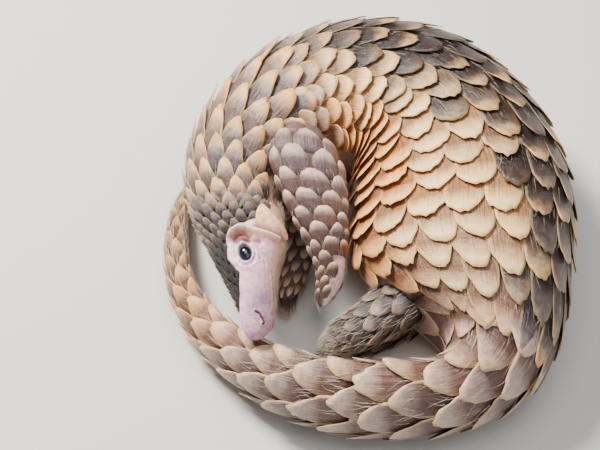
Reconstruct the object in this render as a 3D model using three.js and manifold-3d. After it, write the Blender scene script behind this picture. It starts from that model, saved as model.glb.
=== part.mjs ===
// A live pangolin curled up on its right side, life size, in millimetres with +Z up.
// The snout points to -Y, the back is turned outward, and the tail wraps round the front
// with its tip under the neck. The body is one curved form, cut by flat ribs from the nose
// to the tail tip, and the parts meet at those ribs with a thin gap.

import * as THREE from "three";
import { mergeVertices } from "three/addons/utils/BufferGeometryUtils.js";
import Module from "manifold-3d";

const wasm = await Module();
wasm.setup();

// Sizes shared by all parts
const GAP = 0.3; // between parts that touch
const HEAD_STEP = 8;
const SEAT_SIDES = 24;
const SEAT_STEP = 7;
const SEAT_GAP = 0.6; // round a limb's outline, so that its plates stay clear of the body
const FOLD_SIDES = 6;
const CLAW_SIDES = 6;
const OVERRUN = 0.4; // how far a length runs past its end rib before it is cut there

// The ribs of the body, nose first. A rib is a flat section across the body: where its
// centre is, the compass angle that the back faces, how many degrees the back leans up,
// and how far the outline reaches to the back, the belly, the upper and the lower side.
// "coat" is how deep the scales are and "plate" how far apart their rows stand.
const BODY_RIBS = [
  { at: [-31, -110, 82], turn: 196, lean: 10, back: 3, belly: 3, high: 3, low: 3, coat: 0, plate: 8 },
  { at: [-31, -107, 82], turn: 196, lean: 10, back: 8, belly: 8, high: 8, low: 8, coat: 0, plate: 8 },
  { at: [-31, -100, 83], turn: 195, lean: 10, back: 12, belly: 12, high: 12, low: 12, coat: 0, plate: 9 },
  { at: [-33, -83, 86], turn: 193, lean: 10, back: 15, belly: 15, high: 15, low: 15, coat: 0.5, plate: 11 },
  { at: [-37, -62, 88], turn: 190, lean: 10, back: 21, belly: 21, high: 20, low: 20, coat: 1, plate: 12 },
  { at: [-42, -38, 88], turn: 186, lean: 10, back: 28, belly: 31, high: 27, low: 26, coat: 1.5, plate: 13 },
  { at: [-49, -10, 84], turn: 178, lean: 10, back: 35, belly: 36, high: 33, low: 33, coat: 3, plate: 15 },
  { at: [-53, 28, 76], turn: 165, lean: 10, back: 41, belly: 42, high: 42, low: 44, coat: 4, plate: 30 },
  { at: [-37, 68, 70], turn: 142, lean: 10, back: 52, belly: 47, high: 53, low: 58, coat: 5, plate: 35 },
  { at: [-6, 100, 68], turn: 118, lean: 10, back: 61, belly: 58, high: 61, low: 69, coat: 5, plate: 37 },
  { at: [37, 115, 67], turn: 90, lean: 10, back: 70, belly: 64, high: 65, low: 69, coat: 5, plate: 38 },
  { at: [83, 108, 66], turn: 58, lean: 10, back: 78, belly: 74, high: 67, low: 69, coat: 5, plate: 38 },
  { at: [117, 72, 66], turn: 28, lean: 10, back: 84, belly: 86, high: 68, low: 69, coat: 5, plate: 38 },
  { at: [130, 18, 65], turn: 10, lean: 10, back: 90, belly: 95, high: 68, low: 68, coat: 5, plate: 38 },
  { at: [127, -35, 64], turn: 0, lean: 10, back: 88, belly: 88, high: 67, low: 67, coat: 5, plate: 38 },
  { at: [133, -84, 58], turn: -14, lean: 8, back: 70, belly: 62, high: 58, low: 61, coat: 5, plate: 38 },
  { at: [132, -114, 50], turn: -40, lean: 5, back: 49, belly: 30, high: 51, low: 52, coat: 5, plate: 36 },
  { at: [107, -130, 46], turn: -62, lean: 0, back: 41, belly: 14, high: 46, low: 47, coat: 5, plate: 35 },
  { at: [66, -133, 45], turn: -80, lean: 0, back: 41, belly: 9, high: 47, low: 46, coat: 5, plate: 34 },
  { at: [22, -128, 42], turn: -95, lean: 0, back: 38, belly: 8, high: 44, low: 43, coat: 5, plate: 31 },
  { at: [-14, -114, 38], turn: -112, lean: 0, back: 34, belly: 8, high: 38, low: 39, coat: 4.5, plate: 29 },
  { at: [-45, -94, 33], turn: -130, lean: 0, back: 28, belly: 7, high: 32, low: 34, coat: 4, plate: 28 },
  { at: [-70, -68, 28], turn: -148, lean: 0, back: 24, belly: 7, high: 27, low: 29, coat: 4, plate: 26 },
  { at: [-88, -36, 23], turn: -166, lean: 0, back: 20, belly: 6, high: 22, low: 24, coat: 3.5, plate: 25 },
  { at: [-96, 2, 18], turn: -182, lean: 0, back: 17, belly: 6, high: 17, low: 19, coat: 3, plate: 24 },
  { at: [-97, 36, 13], turn: -190, lean: 0, back: 13, belly: 5, high: 12, low: 14, coat: 2, plate: 18 },
  { at: [-94, 60, 9], turn: -195, lean: 0, back: 8, belly: 4, high: 8, low: 10, coat: 1, plate: 16 },
  { at: [-92, 68, 7], turn: -196, lean: 0, back: 3, belly: 3, high: 4, low: 5, coat: 0.5, plate: 14 },
];

// The corners of a scale from its root to its tip, on one side: how far along in row
// spacings from its middle, how far across in column spacings, and how high in coats.
// The root itself is level with the skin, and the tip is a short blunt edge.
const SCALE_CORNERS = [
  [-0.3, 0.44, 0.35],
  [0.33, 0.42, 0.8],
  [0.57, 0.12, 1],
];
const SCALE_VARIES = 0.12; // how much the heights differ from scale to scale
const RISE_LIMIT = 1.08;
const REFERENCE = Math.PI / 4; // the angle at which distances along the body are measured

// The lengths that the body is parted into, by rib number
const HEAD_END = 6;
const NECK_END = 8;
const TAIL_START = 15.4;
const TAIL_END = BODY_RIBS.length - 1;
const HEAD_SCALES = { from: 0, to: 7.2, columns: 14, reach: crownReach, heading: 1 };
const TRUNK_SCALES = { from: 4.4, to: 17, columns: 16, reach: () => 124, heading: 1 };
const TAIL_SCALES = { from: 13.8, to: TAIL_END, columns: 8, reach: () => 100, heading: 1 };
const BODY_PARTS = [
  { name: "neck", from: HEAD_END, to: NECK_END, scales: TRUNK_SCALES },
  { name: "torso_front", from: NECK_END, to: 10.4, scales: TRUNK_SCALES },
  { name: "torso_middle", from: 10.4, to: 12.9, scales: TRUNK_SCALES },
  { name: "torso_rear", from: 12.9, to: TAIL_START, scales: TRUNK_SCALES },
  { name: "tail_base", from: TAIL_START, to: 18, scales: TAIL_SCALES },
  { name: "tail_front", from: 18, to: 20.4, scales: TAIL_SCALES },
  { name: "tail_middle", from: 20.4, to: 23, scales: TAIL_SCALES },
  { name: "tail_end", from: 23, to: TAIL_END, scales: TAIL_SCALES },
];

// The limbs, shoulder or hip first, by the same kind of ribs
const LIMBS = [
  {
    name: "foreleg_left",
    claws: { count: 3, length: 20, radius: 3.2, heading: [-0.5, 0.1, -0.9], curl: [0.9, 0.2, 0] },
    scales: { columns: 8, reach: () => 180, heading: -1 },
    ribs: [
      { at: [2, 62, 100], turn: 172, lean: 30, back: 20, belly: 20, high: 14, low: 26, coat: 3, plate: 29 },
      { at: [6, 42, 106], turn: 176, lean: 25, back: 30, belly: 26, high: 17, low: 30, coat: 3, plate: 29 },
      { at: [11, 22, 104], turn: 178, lean: 22, back: 35, belly: 26, high: 17, low: 26, coat: 3, plate: 26 },
      { at: [17, 0, 95], turn: 180, lean: 22, back: 31, belly: 21, high: 15, low: 22, coat: 3, plate: 24 },
      { at: [23, -22, 82], turn: 184, lean: 20, back: 23, belly: 15, high: 13, low: 17, coat: 2.5, plate: 22 },
      { at: [26, -40, 66], turn: 190, lean: 15, back: 15, belly: 12, high: 11, low: 12, coat: 2, plate: 19 },
      { at: [24, -51, 55], turn: 190, lean: 8, back: 12, belly: 11, high: 9, low: 10, coat: 1.5, plate: 17 },
      { at: [20, -60, 48], turn: 190, lean: 4, back: 9, belly: 8, high: 6, low: 7, coat: 1, plate: 14 },
      { at: [18, -65, 45], turn: 190, lean: 0, back: 4, belly: 4, high: 2, low: 2, coat: 0.5, plate: 14 },
    ],
  },
  {
    name: "foreleg_right",
    claws: { count: 3, length: 18, radius: 3.2, heading: [-0.3, -0.9, -0.1], curl: [1, 0, 0] },
    scales: { columns: 6, reach: () => 180, heading: 1 },
    ribs: [
      { at: [4, 58, 38], turn: 172, lean: 0, back: 20, belly: 20, high: 20, low: 18, coat: 3, plate: 29 },
      { at: [4, 36, 32], turn: 176, lean: 0, back: 22, belly: 20, high: 17, low: 17, coat: 3, plate: 26 },
      { at: [3, 12, 26], turn: 184, lean: 0, back: 18, belly: 17, high: 14, low: 15, coat: 2.5, plate: 24 },
      { at: [-1, -10, 21], turn: 192, lean: 0, back: 14, belly: 14, high: 11, low: 13, coat: 2, plate: 22 },
      { at: [-6, -28, 16], turn: 194, lean: 0, back: 12, belly: 12, high: 9, low: 11, coat: 1.5, plate: 17 },
      { at: [-9, -40, 13], turn: 194, lean: 0, back: 9, belly: 9, high: 7, low: 8, coat: 1, plate: 14 },
      { at: [-10, -45, 12], turn: 194, lean: 0, back: 4, belly: 4, high: 3, low: 4, coat: 0.5, plate: 14 },
    ],
  },
  {
    name: "hindleg_left",
    claws: { count: 4, length: 9, radius: 2.2, heading: [-0.85, -0.3, -0.4], curl: [0, 0, -0.5] },
    scales: { columns: 6, reach: () => 180, heading: 1 },
    ribs: [
      { at: [106, -44, 60], turn: -50, lean: 20, back: 22, belly: 24, high: 22, low: 26, coat: 3, plate: 31 },
      { at: [86, -60, 57], turn: -52, lean: 20, back: 24, belly: 24, high: 22, low: 25, coat: 3, plate: 29 },
      { at: [66, -74, 53], turn: -55, lean: 20, back: 22, belly: 21, high: 20, low: 20, coat: 3, plate: 24 },
      { at: [48, -85, 49], turn: -60, lean: 20, back: 19, belly: 18, high: 17, low: 16, coat: 2.5, plate: 22 },
      { at: [33, -92, 46], turn: -65, lean: 20, back: 15, belly: 15, high: 14, low: 13, coat: 2, plate: 18 },
      { at: [23, -96, 44], turn: -68, lean: 20, back: 10, belly: 10, high: 9, low: 9, coat: 1.5, plate: 16 },
      { at: [19, -97, 43], turn: -70, lean: 20, back: 4, belly: 4, high: 4, low: 4, coat: 0.5, plate: 14 },
    ],
  },
  {
    name: "hindleg_right",
    claws: { count: 4, length: 9, radius: 2.2, heading: [-0.95, -0.1, -0.2], curl: [0, 0, -0.4] },
    scales: { columns: 6, reach: () => 180, heading: 1 },
    ribs: [
      { at: [104, -42, 18], turn: -50, lean: 0, back: 20, belly: 20, high: 13, low: 16, coat: 3, plate: 29 },
      { at: [84, -58, 15], turn: -55, lean: 0, back: 20, belly: 20, high: 13, low: 15, coat: 3, plate: 26 },
      { at: [64, -71, 14], turn: -60, lean: 0, back: 18, belly: 18, high: 12, low: 14, coat: 2.5, plate: 24 },
      { at: [46, -80, 13], turn: -65, lean: 0, back: 15, belly: 15, high: 11, low: 13, coat: 2, plate: 22 },
      { at: [31, -86, 12], turn: -70, lean: 0, back: 12, belly: 12, high: 10, low: 12, coat: 1.5, plate: 18 },
      { at: [22, -89, 11], turn: -72, lean: 0, back: 8, belly: 8, high: 7, low: 9, coat: 1, plate: 16 },
      { at: [18, -90, 10], turn: -74, lean: 0, back: 3, belly: 3, high: 3, low: 4, coat: 0.5, plate: 14 },
    ],
  },
];

// The head's features, placed by rib number and angle from the middle of the back
const SNOUT_SCALES = 3.2; // the rib where the scales of the snout begin
const SNOUT_REACH = 42;
const BROW_SCALES = 5.05; // the rib where the scales spread out behind the brows
const CROWN_REACH = 88;
const EYE = { t: 4.42, angle: 75, radius: 5.2, seat: 3.4, lidRadius: 5.6, lidThickness: 1.3 };
const BROW_PATH = [[4.72, 44], [4.92, 58], [4.95, 74], [4.84, 92], [4.82, 108], [4.98, 124]];
const BROW_RADII = [1.4, 2.4, 2.8, 2.6, 2.2, 1.2];
const NOSTRIL_PATH = [[2.1, 78], [2.0, 92], [1.75, 104], [1.45, 112]];
const MOUTH_PATH = [[3.5, 136], [2.9, 145], [2.3, 151], [1.7, 160], [1.45, 180]];
const EAR_PATH = [[5.5, 92], [5.46, 104], [5.34, 118], [5.2, 132], [5.1, 146], [5.04, 158]];
const EAR_HEIGHT = 9;
const EAR_THICKNESS = 3.4;

const group = new THREE.Group();

// Colours of the parts
const SCALE_MATERIAL = new THREE.MeshStandardMaterial({ color: 0xb89a78, roughness: 0.5, metalness: 0 });
const LIMB_MATERIAL = new THREE.MeshStandardMaterial({ color: 0x8a7468, roughness: 0.5, metalness: 0 });
const SKIN_MATERIAL = new THREE.MeshStandardMaterial({ color: 0xe2c4c0, roughness: 0.6, metalness: 0 });
const EYE_MATERIAL = new THREE.MeshStandardMaterial({ color: 0x10131c, roughness: 0.1, metalness: 0 });

const radians = THREE.MathUtils.degToRad;

// How far the scales of the crown reach down the sides of the head, in degrees: the snout's
// sides, the cheeks and the nose are bare
function crownReach(t) {
  if (t < SNOUT_SCALES) {
    return 0;
  }
  return t < BROW_SCALES ? SNOUT_REACH : CROWN_REACH;
}

// A smooth value between the ribs, by a spline through four neighbours
function between(ribs, t, read) {
  const last = ribs.length - 1;
  const cell = Math.min(Math.max(Math.floor(t), 0), last - 1);
  const f = t - cell;
  const value = (step) => read(ribs[Math.min(Math.max(cell + step, 0), last)]);
  const a = value(-1);
  const b = value(0);
  const c = value(1);
  const d = value(2);
  const bend = (2 * a - 5 * b + 4 * c - d) * f + (3 * b - 3 * c + d - a) * f * f;
  return b + 0.5 * f * (c - a + bend);
}

// The rib at any place along the body: its centre, its three directions and its reaches
function ribAt(ribs, t) {
  const turn = radians(between(ribs, t, (rib) => rib.turn));
  const lean = radians(between(ribs, t, (rib) => rib.lean));
  const outward = new THREE.Vector3(Math.cos(turn), Math.sin(turn), 0);
  const up = new THREE.Vector3(0, 0, 1);
  const toBack = outward.clone().multiplyScalar(Math.cos(lean)).addScaledVector(up, Math.sin(lean));
  const toUpper = up.clone().multiplyScalar(Math.cos(lean)).addScaledVector(outward, -Math.sin(lean));
  return {
    centre: new THREE.Vector3(...[0, 1, 2].map((axis) => between(ribs, t, (rib) => rib.at[axis]))),
    toBack,
    toUpper,
    toTail: toBack.clone().cross(toUpper),
    back: between(ribs, t, (rib) => rib.back),
    belly: between(ribs, t, (rib) => rib.belly),
    high: between(ribs, t, (rib) => rib.high),
    low: between(ribs, t, (rib) => rib.low),
    coat: between(ribs, t, (rib) => rib.coat),
    plate: between(ribs, t, (rib) => rib.plate),
  };
}

// A point of the surface: angle 0 is the middle of the back, 90 degrees the upper side.
// "lift" is the height above the outline, below it if negative.
function surfacePoint(ribs, t, angle, lift = 0) {
  const rib = ribAt(ribs, t);
  const c = Math.cos(angle);
  const s = Math.sin(angle);
  const depth = c > 0 ? rib.back : rib.belly;
  const width = s > 0 ? rib.high : rib.low;
  const slope = Math.hypot(c / depth, s / width);
  return rib.centre
    .clone()
    .addScaledVector(rib.toBack, depth * c + (lift * c) / (depth * slope))
    .addScaledVector(rib.toUpper, width * s + (lift * s) / (width * slope));
}

// A closed solid through rings of points that all have the same number of points
function loft(rings) {
  const sides = rings[0].length;
  const points = rings.flat();
  const faces = [];
  for (let ring = 0; ring < rings.length - 1; ring++) {
    for (let side = 0; side < sides; side++) {
      const a = ring * sides + side;
      const b = ring * sides + ((side + 1) % sides);
      faces.push([a, b, b + sides], [a, b + sides, a + sides]);
    }
  }
  const capEnd = (start, flip) => {
    const middle = new THREE.Vector3();
    for (let side = 0; side < sides; side++) {
      middle.addScaledVector(points[start + side], 1 / sides);
    }
    const hub = points.push(middle) - 1;
    for (let side = 0; side < sides; side++) {
      const a = start + side;
      const b = start + ((side + 1) % sides);
      faces.push(flip ? [hub, b, a] : [hub, a, b]);
    }
  };
  capEnd(0, true);
  capEnd((rings.length - 1) * sides, false);
  return solidFrom(points, faces);
}

// Points and faces as a solid with its faces turned outward
function solidFrom(points, faces) {
  const volume = faces.reduce((sum, [a, b, c]) => {
    return sum + points[a].dot(points[b].clone().cross(points[c]));
  }, 0);
  const turned = volume < 0 ? faces.map(([a, b, c]) => [a, c, b]) : faces;
  const vertProperties = new Float32Array(points.flatMap((point) => point.toArray()));
  const triVerts = new Uint32Array(turned.flat());
  return new wasm.Manifold(new wasm.Mesh({ numProp: 3, vertProperties, triVerts }));
}

// A three.js geometry as a solid
function solidFromGeometry(geometry) {
  const bare = geometry.clone();
  bare.deleteAttribute("normal");
  bare.deleteAttribute("uv");
  const merged = mergeVertices(bare, 1e-4);
  const position = merged.getAttribute("position");
  const points = [];
  for (let i = 0; i < position.count; i++) {
    points.push(new THREE.Vector3().fromBufferAttribute(position, i));
  }
  const faces = [];
  for (let i = 0; i < merged.index.count; i += 3) {
    const face = [0, 1, 2].map((corner) => merged.index.getX(i + corner));
    if (new Set(face).size === 3) {
      faces.push(face);
    }
  }
  return solidFrom(points, faces);
}

// The smooth form between two places along the body
function formBetween(ribs, from, to, step, sides, lift) {
  const places = placesAlong(ribs, from, to, step);
  return loft(
    places.map((t) => {
      const ring = [];
      for (let side = 0; side < sides; side++) {
        ring.push(surfacePoint(ribs, t, (2 * Math.PI * side) / sides, lift(t)));
      }
      return ring;
    }),
  );
}

// Places along the body about "step" apart, measured on its upper outer side
function placesAlong(ribs, from, to, step) {
  const fine = 400;
  const track = [0];
  const at = (i) => from + ((to - from) * i) / fine;
  for (let i = 1; i <= fine; i++) {
    const a = surfacePoint(ribs, at(i - 1), Math.PI / 4);
    const b = surfacePoint(ribs, at(i), Math.PI / 4);
    track.push(track[i - 1] + a.distanceTo(b));
  }
  const count = Math.max(2, Math.round(track[fine] / step));
  const places = [];
  for (let k = 0; k <= count; k++) {
    const wanted = (track[fine] * k) / count;
    const i = track.findIndex((distance) => distance >= wanted - 1e-9);
    places.push(at(i));
  }
  return places;
}

// What is left of a solid between two ribs, half a gap inside each
function cutAtRibs(solid, ribs, from, to) {
  let part = solid;
  if (from > 0) {
    const rib = ribAt(ribs, from);
    part = part.trimByPlane(rib.toTail.toArray(), rib.toTail.dot(rib.centre) + GAP / 2);
  }
  if (to < ribs.length - 1) {
    const rib = ribAt(ribs, to);
    const toHead = rib.toTail.clone().negate();
    part = part.trimByPlane(toHead.toArray(), toHead.dot(rib.centre) + GAP / 2);
  }
  return part;
}

// The body lies on the floor: nothing reaches below it
function restOnFloor(solid) {
  return solid.trimByPlane([0, 0, 1], 0);
}

// A repeatable number between -1 and 1 for the small differences between plates
function chance(row, column, salt) {
  const wave = Math.sin(row * 127.1 + column * 311.7 + salt * 74.7) * 43758.5453;
  return 2 * (wave - Math.floor(wave)) - 1;
}

// Where the rows of scales stand between two places: how many rows there are, and the place
// along the ribs of any row number, whole or not. They are spaced by the ribs' "plate".
function rowPlaces(ribs, from, to) {
  const fine = 800;
  const at = (i) => from + ((to - from) * i) / fine;
  const track = [0];
  for (let i = 1; i <= fine; i++) {
    const step = surfacePoint(ribs, at(i - 1), REFERENCE).distanceTo(surfacePoint(ribs, at(i), REFERENCE));
    track.push(track[i - 1] + step / ribAt(ribs, at(i)).plate);
  }
  const rows = Math.max(2, Math.round(track[fine]));
  const place = (row) => {
    const wanted = (Math.min(Math.max(row, 0), rows) * track[fine]) / rows;
    const i = Math.max(1, track.findIndex((count) => count >= wanted - 1e-9));
    return at(i - 1 + (wanted - track[i - 1]) / (track[i] - track[i - 1]));
  };
  return { rows, place };
}

// A closed form covered with rows of scales that are raised from its skin. The scales stand
// like bricks, each on a six-sided patch of skin: from a root level with the skin, each rises
// to a blunt tip one coat above it. Only the rows that reach between two places are made.
function scalyForm(ribs, { from, to }, { rows, place }, { columns, reach, heading }) {
  const points = [];
  const faces = [];
  const step = (2 * Math.PI) / columns;
  const wrap = (column) => (column + columns) % columns;
  const turnOf = (row, column) => step * (column + (row % 2 ? 0.5 : 0));
  const addPoint = (row, angle, rise) => {
    const t = place(row);
    return points.push(surfacePoint(ribs, t, angle, (rise - 1) * ribAt(ribs, t).coat)) - 1;
  };
  // Rings of skin points, two to a row, set where three patches meet
  const rings = new Map();
  const ring = (row, half) => {
    const key = row + half / 3;
    if (!rings.has(key)) {
      rings.set(key, Array.from({ length: columns }, (_, column) => addPoint(key, turnOf(row, column + 0.5), 0)));
    }
    return rings.get(key);
  };
  let first = 1;
  while (place(first + 1) < from) {
    first += 1;
  }
  let last = rows - 1;
  while (place(last - 1) > to) {
    last -= 1;
  }
  for (let row = first; row <= last; row++) {
    const shift = row % 2 ? 0 : -1;
    for (let column = 0; column < columns; column++) {
      const left = wrap(column - 1);
      const rear = [ring(row - 1, 1)[wrap(column + shift)], ring(row, -1)[left], ring(row, -1)[column]];
      const front = [ring(row + 1, -1)[wrap(column + shift)], ring(row, 1)[left], ring(row, 1)[column]];
      const [root, rootLeft, rootRight] = heading > 0 ? rear : front;
      const [tip, tipLeft, tipRight] = heading > 0 ? front : rear;
      const angle = turnOf(row, column);
      const fromBack = Math.abs(THREE.MathUtils.euclideanModulo(angle + Math.PI, 2 * Math.PI) - Math.PI);
      if (fromBack > radians(reach(place(row)))) {
        faces.push([root, rootLeft, tipLeft], [root, tipLeft, tip], [root, tip, tipRight], [root, tipRight, rootRight]);
        continue;
      }
      const vary = 1 + SCALE_VARIES * chance(row, column, 1);
      const raised = ([along, across, rise], side) => {
        return addPoint(row + heading * along, angle + side * across * step, Math.min(rise * vary, RISE_LIMIT));
      };
      const [a, b, c] = SCALE_CORNERS.map((corner) => raised(corner, -1));
      const [f, e, d] = SCALE_CORNERS.map((corner) => raised(corner, 1));
      faces.push([root, a, c], [a, b, c], [root, c, d], [root, d, f], [f, d, e]);
      faces.push([root, rootLeft, a], [rootLeft, tipLeft, a], [a, tipLeft, b], [b, tipLeft, c], [c, tipLeft, tip]);
      faces.push([root, f, rootRight], [rootRight, f, tipRight], [f, e, tipRight], [e, d, tipRight], [d, tip, tipRight]);
      faces.push([c, tip, d]);
    }
  }
  // The notched ends are filled up and closed
  for (const [inner, outer, row] of [
    [ring(first, -1), ring(first - 1, 1), first],
    [ring(last, 1), ring(last + 1, -1), last],
  ]) {
    const shift = row % 2 ? 0 : -1;
    const hub = points.push(ribAt(ribs, place(row === first ? row - 1 : row + 1)).centre) - 1;
    for (let column = 0; column < columns; column++) {
      faces.push([inner[column], outer[wrap(column + shift)], outer[wrap(column + shift + 1)]]);
      faces.push([hub, outer[column], outer[wrap(column + 1)]]);
    }
  }
  return solidFrom(points, alignFaces(faces));
}

// Turns the faces of a closed surface so that all of them face the same way
function alignFaces(faces) {
  const owners = new Map();
  faces.forEach((face, number) => {
    for (let i = 0; i < 3; i++) {
      const a = face[i];
      const b = face[(i + 1) % 3];
      const key = a < b ? `${a} ${b}` : `${b} ${a}`;
      owners.set(key, [...(owners.get(key) ?? []), { number, forward: a < b }]);
    }
  });
  const turned = new Array(faces.length).fill(null);
  turned[0] = false;
  const waiting = [0];
  while (waiting.length) {
    const number = waiting.pop();
    const face = faces[number];
    for (let i = 0; i < 3; i++) {
      const a = face[i];
      const b = face[(i + 1) % 3];
      const key = a < b ? `${a} ${b}` : `${b} ${a}`;
      for (const other of owners.get(key)) {
        if (other.number !== number && turned[other.number] === null) {
          const sameWay = other.forward === (a < b);
          turned[other.number] = sameWay ? !turned[number] : turned[number];
          waiting.push(other.number);
        }
      }
    }
  }
  return faces.map(([a, b, c], number) => (turned[number] ? [a, c, b] : [a, b, c]));
}

// The largest closed surface of a solid
function largestPiece(solid) {
  return solid.decompose().reduce((best, piece) => (piece.volume() > best.volume() ? piece : best));
}

function addPart(name, solid, material) {
  const { vertProperties, triVerts } = largestPiece(solid).getMesh();
  const geometry = new THREE.BufferGeometry();
  geometry.setAttribute("position", new THREE.BufferAttribute(vertProperties, 3));
  geometry.setIndex(new THREE.BufferAttribute(triVerts, 1));
  geometry.computeVertexNormals();
  const mesh = new THREE.Mesh(geometry, material);
  mesh.name = name;
  group.add(mesh);
}

// The outward direction of the surface at a place
function surfaceNormal(ribs, t, angle) {
  return surfacePoint(ribs, t, angle, 1).sub(surfacePoint(ribs, t, angle)).normalize();
}

// A rounded cord of changing thickness along a path on the surface, used for folds of skin
function foldAlong(path, radii, side) {
  const centres = path.map(([t, angle]) => surfacePoint(BODY_RIBS, t, side * radians(angle)));
  return loft(
    centres.map((centre, i) => {
      const before = centres[Math.max(i - 1, 0)];
      const after = centres[Math.min(i + 1, centres.length - 1)];
      const along = after.clone().sub(before).normalize();
      const normal = surfaceNormal(BODY_RIBS, path[i][0], side * radians(path[i][1]));
      const across = along.clone().cross(normal).normalize();
      return ringRound(centre, across, normal, radii[i], radii[i], FOLD_SIDES);
    }),
  );
}

// A ring of points round a centre, in the plane of two directions
function ringRound(centre, across, normal, width, height, sides) {
  const ring = [];
  for (let i = 0; i < sides; i++) {
    const angle = (2 * Math.PI * i) / sides;
    ring.push(
      centre
        .clone()
        .addScaledVector(across, width * Math.cos(angle))
        .addScaledVector(normal, height * Math.sin(angle)),
    );
  }
  return ring;
}

// A slit cut into the skin along a path, as deep as it is told and closed at its ends
function slitAlong(path, width, depth) {
  const points = path.map(([t, angle]) => surfacePoint(BODY_RIBS, t, radians(angle)));
  return loft(
    points.map((point, i) => {
      const before = points[Math.max(i - 1, 0)];
      const after = points[Math.min(i + 1, points.length - 1)];
      const along = after.clone().sub(before).normalize();
      const normal = surfaceNormal(BODY_RIBS, path[i][0], radians(path[i][1]));
      const across = along.clone().cross(normal).normalize();
      return [
        point.clone().addScaledVector(normal, 2).addScaledVector(across, width),
        point.clone().addScaledVector(normal, 2).addScaledVector(across, -width),
        point.clone().addScaledVector(normal, -depth),
      ];
    }),
  );
}

function sphereAt(centre, radius, columns, rows) {
  const geometry = new THREE.SphereGeometry(radius, columns, rows);
  geometry.translate(centre.x, centre.y, centre.z);
  return solidFromGeometry(geometry);
}

function eyeCentre(side) {
  const angle = side * radians(EYE.angle);
  const normal = surfaceNormal(BODY_RIBS, EYE.t, angle);
  return surfacePoint(BODY_RIBS, EYE.t, angle).addScaledVector(normal, -EYE.seat);
}

// The ring of the eyelids, lying on the skin round the eye
function eyelids(side) {
  const angle = side * radians(EYE.angle);
  const normal = surfaceNormal(BODY_RIBS, EYE.t, angle);
  const geometry = new THREE.TorusGeometry(EYE.lidRadius, EYE.lidThickness, 6, 14);
  geometry.applyQuaternion(new THREE.Quaternion().setFromUnitVectors(new THREE.Vector3(0, 0, 1), normal));
  const centre = surfacePoint(BODY_RIBS, EYE.t, angle).addScaledVector(normal, -0.3);
  geometry.translate(centre.x, centre.y, centre.z);
  return solidFromGeometry(geometry);
}

// The ear is a flap of thick skin that leans forward over its cup
function ear(side) {
  const points = EAR_PATH.map(([t, angle]) => surfacePoint(BODY_RIBS, t, side * radians(angle)));
  return loft(
    points.map((point, i) => {
      const before = points[Math.max(i - 1, 0)];
      const after = points[Math.min(i + 1, points.length - 1)];
      const along = after.clone().sub(before).normalize();
      const normal = surfaceNormal(BODY_RIBS, EAR_PATH[i][0], side * radians(EAR_PATH[i][1]));
      const forward = normal.clone().cross(along).normalize();
      forward.multiplyScalar(side);
      const swell = 0.35 + 0.65 * Math.sin((Math.PI * (i + 0.6)) / (EAR_PATH.length + 0.2));
      const corner = (out, ahead) => {
        return point
          .clone()
          .addScaledVector(normal, out * EAR_HEIGHT * swell)
          .addScaledVector(forward, ahead * EAR_THICKNESS * swell);
      };
      return [corner(-0.3, -0.8), corner(0.5, -0.7), corner(0.95, 0.1), corner(1, 0.9),
        corner(0.7, 0.8), corner(0.4, 0.3), corner(-0.3, 0.4)];
    }),
  );
}

// The claws fan out from the end of a paw
function clawsOf(limb) {
  const { count, length, radius, heading, curl } = limb.claws;
  const tip = limb.ribs.length - 2;
  const rib = ribAt(limb.ribs, tip);
  const ahead = new THREE.Vector3(...heading).normalize();
  const bend = new THREE.Vector3(...curl);
  const claws = [];
  for (let i = 0; i < count; i++) {
    const spread = count === 1 ? 0 : (2 * i) / (count - 1) - 1;
    const root = rib.centre.clone().addScaledVector(rib.toBack, spread * rib.back * 0.6);
    const across = ahead.clone().cross(bend).normalize();
    const rings = [0, 0.3, 0.6, 0.85, 1].map((share) => {
      const centre = root
        .clone()
        .addScaledVector(ahead, length * (share - 0.25))
        .addScaledVector(bend, 0.35 * length * share * share);
      const size = radius * (1.05 - 0.8 * share * share);
      return ringRound(centre, across, across.clone().cross(ahead).normalize(), size * 0.7, size, CLAW_SIDES);
    });
    claws.push(loft(rings));
  }
  return claws;
}

// A whole limb with its scales
function limbForm({ ribs, scales }) {
  const whole = { from: 0, to: ribs.length - 1 };
  return scalyForm(ribs, whole, rowPlaces(ribs, whole.from, whole.to), scales);
}

// The room that a limb takes out of the body, smooth and a little wider than the limb
function limbSeat({ ribs }) {
  return formBetween(ribs, 0, ribs.length - 1, SEAT_STEP, SEAT_SIDES, () => SEAT_GAP);
}

const limbForms = LIMBS.map(limbForm);
const limbSeats = LIMBS.map(limbSeat);
const trunkRows = rowPlaces(BODY_RIBS, TRUNK_SCALES.from, TRUNK_SCALES.to);
const tailRows = rowPlaces(BODY_RIBS, TAIL_SCALES.from, TAIL_SCALES.to);

for (const { name, from, to, scales } of BODY_PARTS) {
  const rows = scales === TRUNK_SCALES ? trunkRows : tailRows;
  const form = cutAtRibs(scalyForm(BODY_RIBS, { from, to }, rows, scales), BODY_RIBS, from, to);
  const seated = limbSeats.reduce((part, seat) => part.subtract(seat), form);
  addPart(name, restOnFloor(seated), SCALE_MATERIAL);
}

LIMBS.forEach((limb, i) => {
  addPart(limb.name, restOnFloor(wasm.Manifold.union([limbForms[i], ...clawsOf(limb)])), LIMB_MATERIAL);
});

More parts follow.
